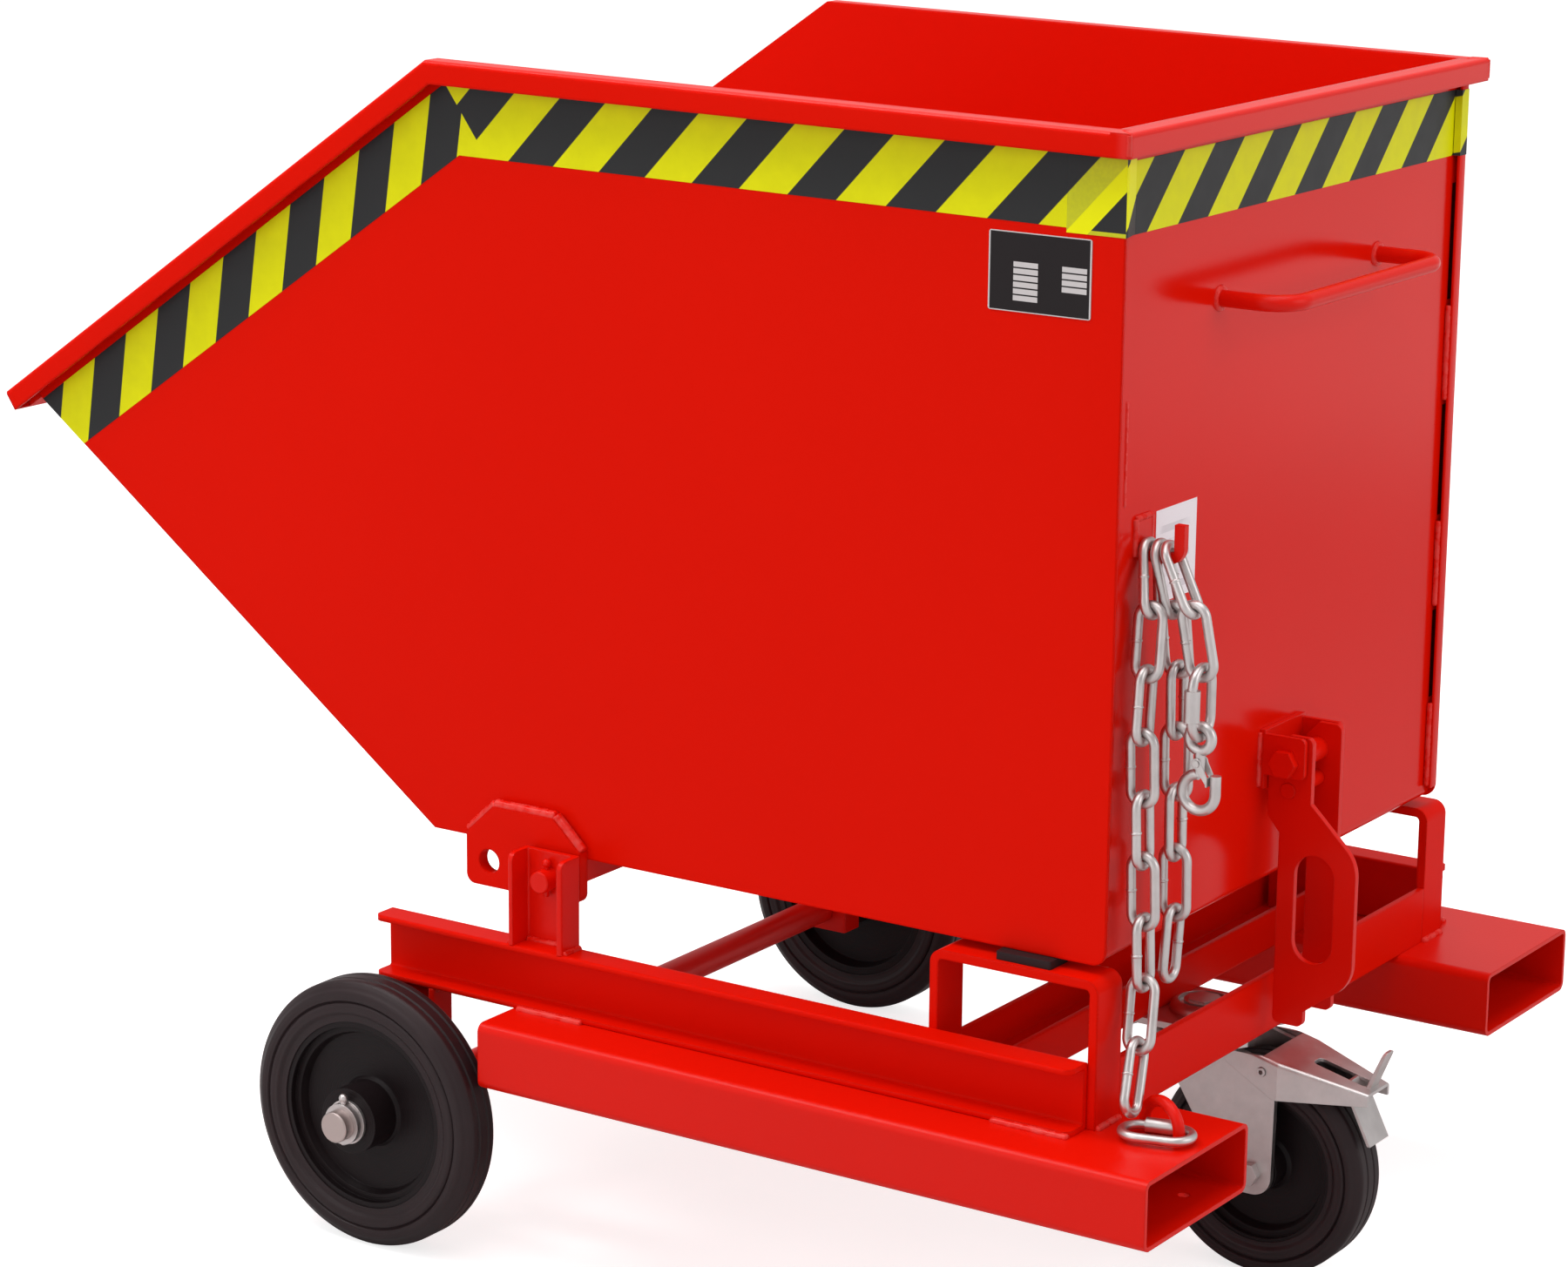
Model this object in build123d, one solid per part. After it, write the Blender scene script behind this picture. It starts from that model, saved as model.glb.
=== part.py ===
from build123d import *
import math
import os

# A tipping box trolley: a steel skip that tips forward on two hinge pins, carried by a frame with
# fork pockets, two fixed front wheels and one braked swivel castor.
# X runs forward to the tipping lip, Y to the left side, Z up from the floor. Sizes in millimetres.
# Lengths along X are written from the middle of the fork pockets and moved to the box centre at the end.

# Sheet and box sizes of the skip
SHEET = 3.0
WALL_Y = 307.5
FLOOR_Z = 361.5
RIM_Z = 1042.0
REAR_X = -230.0
REAR_LAP = 6.0
FRONT_X = 452.0
KINK_X = 443.0
KINK_RISE = 7.0
TIP_X = 941.5
TIP_Z = 705.0
LIP_TOP = 14.0
BEND_R = 8.0
WALL_CORNER_R = 12.0

# Folded rim round the opening
RIM_W = 18.0
RIM_H = 20.0
RIM_EDGE_R = 4.0

# Fork pockets
POCKET_L = 664.0
POCKET_Y = 231.0
POCKET_W = 172.0
POCKET_Z = 167.0
POCKET_H = 60.0
POCKET_T = 4.0
POCKET_R = 8.0
DRAIN_D = 10.0
DRAIN_SETBACK = 32.0
DRAIN_SHIFT = 38.0

# Rolled channel of the rails, hinge posts and axle brackets
CHANNEL_H = 58.0
CHANNEL_W = 28.0
CHANNEL_T = 5.0
CHANNEL_R = 2.0
RAIL_Y = 324.0
RAIL_REAR = -232.0
RAIL_FRONT = 487.0
RAIL_END_R = 8.0
POST_H = 84.0
POST_R = 8.0
BRACKET_DROP = 126.0

# Hinge between skip and frame
HINGE_X = 308.0
HINGE_Z = 345.0
PIN_D = 20.0
PIN_OUT = 346.0
PIN_HEAD_D = 28.0
PIN_HEAD_T = 5.0
PIN_WASHER_D = 38.0
PIN_WASHER_T = 4.0
LUG_T = 12.0
LUG_HALF = 62.0
LUG_TOP_HALF = 33.0
LUG_TOP_Z = 396.0
LUG_SHOULDER_Z = 369.0
LUG_BOTTOM_Z = 322.0
LUG_R = 9.0
HOLE_SPACING = 74.0
SPARE_D = 22.0
STIFFENER_T = 8.0
STIFFENER_H = 20.0
COTTER_D = 5.0
COTTER_L = 30.0

# Rear supports, pads and cross members
SUPPORT_W = 40.0
SUPPORT_T = 8.0
SUPPORT_R = 12.0
SUPPORT_FRONT = -80.0
SUPPORT_REAR = -240.0
SUPPORT_TOP = 354.0
PAD_L = 52.0
PAD_W = 30.0
PAD_GAP = 0.5
PAD_SETBACK = 60.0
ANGLE_H = 52.0
ANGLE_W = 34.0
ANGLE_T = 6.0
CROSS_W = 65.0
CROSS_H = 35.0
CROSS_REAR = -133.0

# Front axle and wheels
AXLE_X = 450.0
AXLE_D = 28.0
AXLE_TAIL = 11.0
WHEEL_R = 122.5
WHEEL_GAP = 1.5
TYRE_W = 44.0
HUB_OUT = 37.0
HUB_IN = 46.5
HUB_R = 30.0
WHEEL_SEAT_R = 86.0
WHEEL_INNER_R = 75.0
WHEEL_RIM_W = 37.0
WHEEL_DISC_T = 9.0
TYRE_BAND_R = 95.0
TYRE_BAND_W = 8.0
TYRE_BAND_EDGE_R = 2.5
TREAD_GROOVE_Y = 6.0
TREAD_GROOVE_HALF = 1.5
TYRE_SEAT_W = 39.0
TREAD_W = 28.0
SHOULDER_H = 10.0
SHOULDER_R = 6.0
WASHER_D = 40.0
WASHER_T = 3.0
COLLAR_D = 37.0
COLLAR_T = 7.0
COLLAR_GAP = 0.5

# Swivel castor
CASTOR_X = -165.0
CASTOR_TRAIL = 70.0
CASTOR_R = 100.0
CASTOR_TYRE_W = 48.0
CASTOR_HUB_R = 22.0
CASTOR_SEAT_R = 69.0
CASTOR_INNER_R = 60.0
CASTOR_RIM_W = 40.0
CASTOR_DISC_T = 10.0
CASTOR_BAND_R = 76.0
CASTOR_SEAT_W = 42.0
CASTOR_TREAD_W = 34.0
CASTOR_HUB_HALF = 28.0
CASTOR_AXLE_D = 12.0
PLATE_T = 6.0
PLATE_HALF_X = 67.0
PLATE_HALF_Y = 52.0
BOLT_X = 55.0
BOLT_Y = 38.0
BOLT_D = 10.0
BOLT_HEAD_D = 17.0
BOLT_HEAD_T = 6.0
RACE_R = 40.0
RACE_H = 8.5
DOME_R = 30.0
DOME_H = 9.0
GROOVE_R = 20.0
GROOVE_W = 5.0
GROOVE_DEPTH = 4.0
KINGPIN_D = 16.0
KINGPIN_NUT_D = 27.0
KINGPIN_NUT_T = 8.0
FORK_TOP = 211.0
FORK_HEAD_T = 6.0
FORK_HEAD_R = 44.0
FORK_IN = 30.0
FORK_T = 6.0
FORK_FOOT = 20.0
FORK_FRONT = 15.0
FORK_REAR = 92.0
FORK_FRONT_DROP = 24.0
FORK_SHOULDER = 50.0
FORK_SHOULDER_DROP = 10.0

# Brake pedal of the castor
PEDAL_X = -245.0
PEDAL_Z = 196.0
PEDAL_PIN_D = 8.0
PEDAL_T = 3.0
PEDAL_NOSE = 36.0
PEDAL_TOP = 210.0
PEDAL_END_X = -338.0
PEDAL_END_Z = 188.0
PEDAL_DEPTH = 11.0
PEDAL_TAB_X = -348.0
PEDAL_TAB_Z = 224.0
PEDAL_TAB_FOOT = -330.0
PEDAL_LOW_Z = 172.0
PEDAL_END_HALF = 21.0
PEDAL_RIVET_D = 4.0
PEDAL_SHOE_HALF = 18.0
PEDAL_SHOE_X = -312.0
PEDAL_SHOE_Z = 140.0
PEDAL_SLOT_L = 52.0
PEDAL_SLOT_W = 16.0
PEDAL_CORNER_R = 5.0
PEDAL_EDGE_R = 3.5

# Push handle on the rear wall
HANDLE_D = 14.0
HANDLE_DROP = 155.0
HANDLE_HALF = 143.0
HANDLE_OUT = 63.0
HANDLE_Y = -7.0
HANDLE_R = 28.0

# Lock lever and its bracket on the rear wall
LOCK_X = -255.0
LOCK_Z = 475.0
LOCK_BOLT_D = 12.0
LOCK_HEAD_D = 22.0
LOCK_HEAD_T = 8.0
LEVER_T = 6.0
LEVER_HALF = 30.0
BRACKET_T = 5.0
BRACKET_GAP = 2.0
BRACKET_HALF_Z = 26.0
BRACKET_OUT = 43.0
LEVER_SIDE = 22.0
LEVER_FRONT = 19.0
LEVER_TOP = 23.0
LEVER_FOOT_Z = 240.0
SHANK_FRONT = -248.0
SHOULDER_Z = 425.0
GRIP_X = -322.0
GRIP_TOP = 418.0
GRIP_BOTTOM = 276.0
GRIP_R = 34.0
SLOT_W = 38.0
SLOT_H = 97.0
SLOT_X = -283.0
SLOT_Z = 347.0
SPACER_D = 20.0
CROSS_PIN_D = 14.0
CROSS_PIN_DROP = 26.0

# Chain, hook and eye
HOOK_Y = 255.0
HOOK_T = 7.0
HOOK_Z = 700.0
HOOK_BAR = 9.0
HOOK_REACH = 40.0
HOOK_UP = 24.0
HOOK_BEND_R = 14.0
HOOK_PAD_T = 2.5
HOOK_PAD_W = 24.0
HOOK_PAD_H = 30.0
WIRE = 8.0
LINK_IN = 52.0
LINK_GAP = 14.0
CHAIN_SLACK = 0.5
QUICK_SLACK = 0.6
HOOK_SLACK = 1.5
EYE_X = -288.0
EYE_Y = 298.0
EYE_R = 22.0
EYE_D = 10.0
EYE_LEG = 6.0
EYE_TURN = 22.0
RING_TURN = 15.0
RING_IN = 50.0
RING_GAP = 24.0
SLEEVE_D = 13.0
SLEEVE_L = 26.0
SAFETY_D = 9.0
SAFETY_EYE_R = 10.0
SAFETY_NECK = 20.0
SAFETY_BOW_R = 15.0
SAFETY_TIP = 16.0
LATCH_T = 1.5
LATCH_WEB = 7.0
LATCH_EYE_R = 4.5
LATCH_PIN_D = 4.0
LATCH_HEAD_D = 6.0

# Warning tape, type plate and label
TAPE_T = 0.3
TAPE_H = 58.5
TAPE_GAP = 2.5
REAR_TAPE_GAP = 6.5
PLATE_L = 94.0
PLATE_H = 64.0
PLATE_X = -160.0
PLATE_DROP = 120.0
PLATE_THICK = 0.8
LABEL_Y = 199.0
LABEL_W = 68.0
LABEL_H = 78.0
LABEL_Z = 687.5

# Clearances
RUN = 0.3
SIDE = 1.0
STEP = 3.0

# Places worked out from the sizes above
ORIGIN_X = (TIP_X + PEDAL_TAB_X) / 2
POCKET_TOP = POCKET_Z + POCKET_H
RAIL_TOP = POCKET_TOP + CHANNEL_H
CASTOR_AXLE_X = CASTOR_X - CASTOR_TRAIL
KINK_Z = RIM_Z + KINK_RISE
RISE_L = math.hypot(KINK_X - REAR_X, KINK_RISE)
RISE_X = (KINK_X - REAR_X) / RISE_L
RISE_Z = KINK_RISE / RISE_L
SLOPE_L = math.hypot(TIP_X - KINK_X, TIP_Z - KINK_Z)
SLOPE_X = (TIP_X - KINK_X) / SLOPE_L
SLOPE_Z = (TIP_Z - KINK_Z) / SLOPE_L
LIP_X = TIP_X - LIP_TOP * SLOPE_X
LIP_Z = TIP_Z - LIP_TOP * SLOPE_Z
LINK_PITCH = LINK_IN - CHAIN_SLACK
WHEEL_Y = RAIL_Y + CHANNEL_W + WHEEL_GAP + HUB_IN
AXLE_HALF = WHEEL_Y + HUB_OUT + WASHER_T + COLLAR_GAP + COLLAR_T + AXLE_TAIL
HANDLE_Z = RIM_Z - HANDLE_DROP
PLATE_Z = RIM_Z - PLATE_DROP

os.makedirs("parts", exist_ok=True)


def block(x0, x1, y0, y1, z0, z1):
    """A box between two corners."""
    centre = Pos((x0 + x1) / 2, (y0 + y1) / 2, (z0 + z1) / 2)
    return centre * Box(x1 - x0, y1 - y0, z1 - z0)


def side_plate(outline, y0, y1):
    """A face drawn in X and Z, made solid between two Y values."""
    return Pos(0, y1, 0) * Rot(90, 0, 0) * extrude(outline, y1 - y0)


def polygon(*points):
    """A face with straight sides."""
    return make_face(Polyline(*points, close=True))


def corners_near(face, radius, *points):
    """A face with the corners at the given points rounded."""
    chosen = [min(face.vertices(), key=lambda v: math.dist((v.X, v.Y), point)) for point in points]
    return fillet(chosen, radius)


def cross_bar(x, z, diameter, y0, y1):
    """A round bar along Y."""
    return Pos(x, (y0 + y1) / 2, z) * Rot(90, 0, 0) * Cylinder(diameter / 2, y1 - y0)


def post(x, y, diameter, z0, z1):
    """A round bar along Z."""
    return Pos(x, y, (z0 + z1) / 2) * Cylinder(diameter / 2, z1 - z0)


def hexagon(x, z, across, y0, y1):
    """A hexagon head or nut on an axis along Y."""
    return side_plate(Pos(x, z) * RegularPolygon(across / math.sqrt(3), 6), y0, y1)


def other_side(shape):
    """The same piece on the right of the trolley."""
    return mirror(shape, about=Plane.XZ)


def channel(length):
    """A channel section along Z: web at low Y, flanges towards high Y, centred on X."""
    half = CHANNEL_H / 2
    section = block(-half, half, 0, CHANNEL_W, 0, length)
    section = fillet(section.edges().filter_by(Axis.Z), CHANNEL_R)
    inside = block(CHANNEL_T - half, half - CHANNEL_T, CHANNEL_T, 2 * CHANNEL_W, -1, length + 1)
    inside = fillet(inside.edges().filter_by(Axis.Z), CHANNEL_R)
    return section - inside


def fork_pocket():
    """The left fork pocket, a rectangular tube with a drain hole in its floor."""
    middle = (POCKET_Y + POCKET_W / 2, POCKET_Z + POCKET_H / 2)
    outer = RectangleRounded(POCKET_W, POCKET_H, POCKET_R)
    bore = RectangleRounded(POCKET_W - 2 * POCKET_T, POCKET_H - 2 * POCKET_T, POCKET_R - POCKET_T)
    start = Plane((-POCKET_L / 2, *middle), x_dir=(0, 1, 0), z_dir=(1, 0, 0))
    tube = extrude(start * (outer - bore), POCKET_L)
    drain_x = DRAIN_SETBACK - POCKET_L / 2
    drain_y = middle[0] - DRAIN_SHIFT
    drain = post(drain_x, drain_y, DRAIN_D, POCKET_Z - 1, POCKET_Z + POCKET_T + 1)
    return tube - drain


def rail():
    """The left side rail, a channel on its side with the open side outwards."""
    length = RAIL_FRONT - RAIL_REAR
    lying = Pos(RAIL_REAR, RAIL_Y, POCKET_TOP + CHANNEL_H / 2) * Rot(0, 90, 0) * channel(length)
    out = RAIL_Y + CHANNEL_W
    plan = polygon((RAIL_REAR, RAIL_Y), (RAIL_FRONT, RAIL_Y), (RAIL_FRONT, out), (RAIL_REAR, out))
    plan = corners_near(plan, RAIL_END_R, (RAIL_FRONT, out), (RAIL_REAR, out))
    return lying & Pos(0, 0, POCKET_TOP) * extrude(plan, CHANNEL_H)


def hinge_post():
    """The left upright that carries the hinge pin."""
    upright = Pos(HINGE_X, RAIL_Y, RAIL_TOP) * channel(POST_H)
    out = RAIL_Y + CHANNEL_W
    top = RAIL_TOP + POST_H
    flange = polygon((RAIL_Y, RAIL_TOP), (out, RAIL_TOP), (out, top), (RAIL_Y, top))
    flange = corners_near(flange, POST_R, (out, top))
    start = Plane((HINGE_X - CHANNEL_H / 2, 0, 0), x_dir=(0, 1, 0), z_dir=(1, 0, 0))
    upright &= extrude(start * flange, CHANNEL_H)
    return upright - cross_bar(HINGE_X, HINGE_Z, PIN_D, RAIL_Y - 1, RAIL_Y + CHANNEL_T + 1)


def axle_bracket():
    """The left bracket under the rail that holds the front axle."""
    upright = Pos(AXLE_X, RAIL_Y, POCKET_TOP - BRACKET_DROP) * channel(BRACKET_DROP)
    return upright - cross_bar(AXLE_X, WHEEL_R, AXLE_D, RAIL_Y - 1, RAIL_Y + CHANNEL_T + 1)


def rear_support():
    """The left rear support, a flat bar bent into an upside-down U."""
    outer = block(SUPPORT_REAR, SUPPORT_FRONT, RAIL_Y - SUPPORT_W, RAIL_Y, POCKET_TOP, SUPPORT_TOP)
    bends = outer.edges().filter_by(Axis.Y).group_by(Axis.Z)[-1]
    outer = fillet(bends, SUPPORT_R)
    inner = block(
        SUPPORT_REAR + SUPPORT_T,
        SUPPORT_FRONT - SUPPORT_T,
        RAIL_Y - SUPPORT_W - 1,
        RAIL_Y + 1,
        POCKET_TOP - 1,
        SUPPORT_TOP - SUPPORT_T,
    )
    inner = fillet(inner.edges().filter_by(Axis.Y).group_by(Axis.Z)[-1], SUPPORT_R - SUPPORT_T)
    web = block(CROSS_REAR, CROSS_REAR + CROSS_W, 0, RAIL_Y + 1, POCKET_TOP - 1, POCKET_TOP + CHANNEL_T)
    return outer - inner - web


def support_pad():
    """The left rubber pad that the skip rests on."""
    front = SUPPORT_FRONT - PAD_SETBACK
    middle = RAIL_Y - SUPPORT_W / 2
    pad = block(
        front - PAD_L,
        front,
        middle - PAD_W / 2,
        middle + PAD_W / 2,
        SUPPORT_TOP,
        FLOOR_Z - PAD_GAP,
    )
    return fillet(pad.edges().filter_by(Axis.Z), 2 * SIDE)


def castor_bolt_places():
    """The four bolt places of the castor plate."""
    return [(CASTOR_X + sx * BOLT_X, sy * BOLT_Y) for sx in (-1, 1) for sy in (-1, 1)]


def rear_angle():
    """The rear cross angle: its foot carries the back of the castor plate."""
    half = RAIL_Y - SUPPORT_W
    face = block(SUPPORT_REAR, SUPPORT_REAR + ANGLE_T, -half, half, POCKET_TOP, POCKET_TOP + ANGLE_H)
    foot = block(SUPPORT_REAR, SUPPORT_REAR + ANGLE_W, -half, half, POCKET_TOP, POCKET_TOP + ANGLE_T)
    bar = face + foot
    for x, y in castor_bolt_places():
        bar -= post(x, y, BOLT_D, POCKET_TOP - 1, POCKET_TOP + ANGLE_T + 1)
    return bar


def cross_channel():
    """The cross channel between the rails, open upwards."""
    front = CROSS_REAR + CROSS_W
    bar = block(CROSS_REAR, front, -RAIL_Y, RAIL_Y, POCKET_TOP, POCKET_TOP + CROSS_H)
    bar -= block(
        CROSS_REAR + CHANNEL_T,
        front - CHANNEL_T,
        -RAIL_Y - 1,
        RAIL_Y + 1,
        POCKET_TOP + CHANNEL_T,
        POCKET_TOP + 2 * CROSS_H,
    )
    for x, y in castor_bolt_places():
        bar -= post(x, y, BOLT_D, POCKET_TOP - 1, POCKET_TOP + CHANNEL_T + 1)
    return bar


def hinge_pin():
    """The left hinge pin with its head inside the lug."""
    head_y = WALL_Y - SIDE
    pin = cross_bar(HINGE_X, HINGE_Z, PIN_D, head_y - PIN_HEAD_T, PIN_OUT)
    pin = chamfer(pin.edges().sort_by(Axis.Y)[-1], SIDE)
    pin += cross_bar(HINGE_X, HINGE_Z, PIN_HEAD_D, head_y - PIN_HEAD_T, head_y)
    return pin - hinge_cotter_hole()


def hinge_washer():
    """The left washer on the hinge pin between lug and post."""
    ring = cross_bar(HINGE_X, HINGE_Z, PIN_WASHER_D, RAIL_Y - PIN_WASHER_T, RAIL_Y)
    return ring - cross_bar(HINGE_X, HINGE_Z, PIN_D, RAIL_Y - 2 * PIN_WASHER_T, RAIL_Y + 1)


def hinge_cotter_hole():
    """The hole for the split pin across the hinge pin, outside the post's web."""
    middle = RAIL_Y + CHANNEL_T + COTTER_D
    return post(HINGE_X, middle, COTTER_D, HINGE_Z - PIN_D, HINGE_Z + PIN_D)


def hinge_cotter():
    """The left split pin of the hinge."""
    middle = RAIL_Y + CHANNEL_T + COTTER_D
    half = COTTER_L / 2
    shank = post(HINGE_X, middle, COTTER_D, HINGE_Z - half, HINGE_Z + half)
    return shank + Pos(HINGE_X, middle, HINGE_Z + half) * Sphere(COTTER_D - SIDE)


def axle_cotter_y():
    """How far out the split pin of the axle stands."""
    return WHEEL_Y + HUB_OUT + WASHER_T + COLLAR_GAP + COLLAR_T / 2


def front_axle():
    """The through axle of the two front wheels."""
    axle = cross_bar(AXLE_X, WHEEL_R, AXLE_D, -AXLE_HALF, AXLE_HALF)
    axle = chamfer(axle.edges().filter_by(GeomType.CIRCLE), SIDE)
    for side in (-1, 1):
        axle -= post(AXLE_X, side * axle_cotter_y(), COTTER_D, WHEEL_R - AXLE_D, WHEEL_R + AXLE_D)
    return axle


def axle_washer():
    """The left washer against the wheel hub."""
    inner = WHEEL_Y + HUB_OUT + RUN
    ring = cross_bar(AXLE_X, WHEEL_R, WASHER_D, inner, inner + WASHER_T)
    return ring - cross_bar(AXLE_X, WHEEL_R, AXLE_D, inner - 1, inner + WASHER_T + 1)


def axle_collar():
    """The left retaining collar at the end of the axle."""
    middle = axle_cotter_y()
    ring = cross_bar(AXLE_X, WHEEL_R, COLLAR_D, middle - COLLAR_T / 2, middle + COLLAR_T / 2)
    ring -= cross_bar(AXLE_X, WHEEL_R, AXLE_D, middle - COLLAR_T, middle + COLLAR_T)
    return ring - post(AXLE_X, middle, COTTER_D, WHEEL_R - COLLAR_D, WHEEL_R + COLLAR_D)


def axle_cotter():
    """The left split pin through collar and axle."""
    high = WHEEL_R + COLLAR_D / 2 + COTTER_D
    shank = post(AXLE_X, axle_cotter_y(), COTTER_D, WHEEL_R - COLLAR_D / 2 - SIDE, high)
    return shank + Pos(AXLE_X, axle_cotter_y(), high) * Sphere(COTTER_D - SIDE)


def turned(outline):
    """A ring turned about Y from an outline of radius and Y."""
    return revolve(outline, Axis.Y)


def wheel_body(seat, inner, width, disc, hub_r, hub_in, hub_out, bore):
    """A wheel centre with a stepped rim, a flat disc and a long hub."""
    lip = width / 2
    face = disc / 2
    outline = polygon(
        (bore, -hub_in),
        (hub_r, -hub_in),
        (hub_r, -face),
        (inner, -face),
        (inner + STEP, -lip),
        (seat, -lip),
        (seat, lip),
        (inner + 2 * STEP, lip),
        (inner + 2 * STEP, lip - 2 * STEP),
        (inner, lip - 2 * STEP),
        (inner - STEP, face),
        (hub_r + STEP, face),
        (hub_r, face + STEP),
        (hub_r, hub_out),
        (bore, hub_out),
    )
    return turned(outline)


def tyre_body(radius, width, seat, seat_width, band, tread):
    """A solid tyre with a raised band and a groove on each side, rounded shoulders and a grooved tread."""
    half = width / 2
    low = seat_width / 2
    flat = tread / 2
    shoulder = radius - SHOULDER_H
    band_end = band + TYRE_BAND_W
    bottom = radius - TREAD_GROOVE_HALF
    outer = [
        (seat, low),
        (band - STEP, low),
        (band, half),
        (band_end, half),
        (band_end + STEP / 2, low),
        (band_end + STEP, half),
        (shoulder, half),
        (radius, flat),
        (radius, TREAD_GROOVE_Y + TREAD_GROOVE_HALF),
        (bottom, TREAD_GROOVE_Y),
        (radius, TREAD_GROOVE_Y - TREAD_GROOVE_HALF),
    ]
    inner = [(r, -y) for r, y in reversed(outer)]
    outline = polygon(*outer, *inner)
    for side in (-half, half):
        outline = corners_near(outline, TYRE_BAND_EDGE_R, (band, side), (band_end, side))
    round_at = [(shoulder, -half), (shoulder, half), (radius, -flat), (radius, flat)]
    return turned(corners_near(outline, SHOULDER_R, *round_at))


def front_wheel_centre():
    """The left front wheel centre."""
    body = wheel_body(
        WHEEL_SEAT_R,
        WHEEL_INNER_R,
        WHEEL_RIM_W,
        WHEEL_DISC_T,
        HUB_R,
        HUB_IN,
        HUB_OUT,
        AXLE_D / 2 + RUN,
    )
    return Pos(AXLE_X, WHEEL_Y, WHEEL_R) * body


def front_tyre():
    """The left front tyre."""
    body = tyre_body(WHEEL_R, TYRE_W, WHEEL_SEAT_R, TYRE_SEAT_W, TYRE_BAND_R, TREAD_W)
    return Pos(AXLE_X, WHEEL_Y, WHEEL_R) * body


def castor_plate():
    """The castor's top plate with its dome."""
    low = POCKET_TOP - PLATE_T
    plate = block(
        CASTOR_X - PLATE_HALF_X,
        CASTOR_X + PLATE_HALF_X,
        -PLATE_HALF_Y,
        PLATE_HALF_Y,
        low,
        POCKET_TOP,
    )
    plate = fillet(plate.edges().filter_by(Axis.Z), WALL_CORNER_R)
    for x, y in castor_bolt_places():
        plate -= post(x, y, BOLT_D, low - 1, POCKET_TOP + 1)
    plate += post(CASTOR_X, 0, 2 * DOME_R, POCKET_TOP, POCKET_TOP + DOME_H)
    plate = fillet(plate.edges().filter_by(GeomType.CIRCLE).sort_by(Axis.Z)[-1], DOME_H - SIDE)
    top = POCKET_TOP + DOME_H
    groove = post(CASTOR_X, 0, 2 * GROOVE_R + GROOVE_W, top - GROOVE_DEPTH, top + 1)
    groove -= post(CASTOR_X, 0, 2 * GROOVE_R - GROOVE_W, top - 2 * GROOVE_DEPTH, top + 2)
    return plate - groove - post(CASTOR_X, 0, KINGPIN_D, low - 1, top + 1)


def castor_bolts():
    """The four bolts of the castor plate, heads below and nuts above."""
    low = POCKET_TOP - PLATE_T
    head = RegularPolygon(BOLT_HEAD_D / math.sqrt(3), 6)
    bolts = []
    for x, y in castor_bolt_places():
        nut_low = POCKET_TOP + (ANGLE_T if x < CASTOR_X else CHANNEL_T)
        bolt = post(x, y, BOLT_D, low - BOLT_HEAD_T, nut_low + BOLT_D)
        bolt += Pos(x, y, low - BOLT_HEAD_T) * extrude(head, BOLT_HEAD_T)
        bolt += Pos(x, y, nut_low) * extrude(head, BOLT_D - 2 * SIDE)
        bolts.append(bolt)
    return Compound(bolts)


def castor_race():
    """The fixed half of the swivel bearing with the kingpin and its nut."""
    top = POCKET_TOP - PLATE_T
    ring = post(CASTOR_X, 0, 2 * RACE_R, top - RACE_H, top)
    ring = fillet(ring.edges().sort_by(Axis.Z)[0], 2 * SIDE)
    head_low = FORK_TOP - FORK_HEAD_T - SIDE
    pin = post(CASTOR_X, 0, KINGPIN_D, head_low - KINGPIN_NUT_T, POCKET_TOP + DOME_H + 2 * SIDE)
    nut_face = RegularPolygon(KINGPIN_NUT_D / math.sqrt(3), 6)
    nut = Pos(CASTOR_X, 0, head_low - KINGPIN_NUT_T) * extrude(nut_face, KINGPIN_NUT_T)
    cap = Pos(CASTOR_X, 0, POCKET_TOP + DOME_H) * extrude(nut_face, 2 * SIDE)
    return ring + pin + nut + cap


def castor_fork():
    """The swivelling fork: a round head and two legs."""
    head = post(CASTOR_X, 0, 2 * FORK_HEAD_R, FORK_TOP - FORK_HEAD_T, FORK_TOP)
    reach = FORK_IN + FORK_T
    crown = block(
        CASTOR_X - FORK_HEAD_R,
        CASTOR_X + FORK_FRONT,
        -reach,
        reach,
        FORK_TOP - FORK_HEAD_T,
        FORK_TOP,
    )
    foot_z = CASTOR_R - FORK_FOOT
    outline = polygon(
        (CASTOR_X + FORK_FRONT, FORK_TOP),
        (CASTOR_X - FORK_SHOULDER, FORK_TOP),
        (CASTOR_X - FORK_REAR, FORK_TOP - FORK_SHOULDER_DROP),
        (CASTOR_AXLE_X - FORK_FOOT, foot_z),
        (CASTOR_AXLE_X + FORK_FOOT, foot_z),
        (CASTOR_X + FORK_FRONT, FORK_TOP - FORK_FRONT_DROP),
    )
    feet = [(CASTOR_AXLE_X - FORK_FOOT, foot_z), (CASTOR_AXLE_X + FORK_FOOT, foot_z)]
    outline = corners_near(outline, FORK_FOOT - 2 * SIDE, *feet)
    fork = head + crown
    fork += side_plate(outline, FORK_IN, reach)
    fork += side_plate(outline, -reach, -FORK_IN)
    fork -= post(CASTOR_X, 0, KINGPIN_D + 2 * RUN, FORK_TOP - 2 * FORK_HEAD_T, FORK_TOP + 1)
    fork -= cross_bar(CASTOR_AXLE_X, CASTOR_R, CASTOR_AXLE_D, -2 * reach, 2 * reach)
    return fork - cross_bar(PEDAL_X, PEDAL_Z, PEDAL_PIN_D, -2 * reach, 2 * reach)


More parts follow.
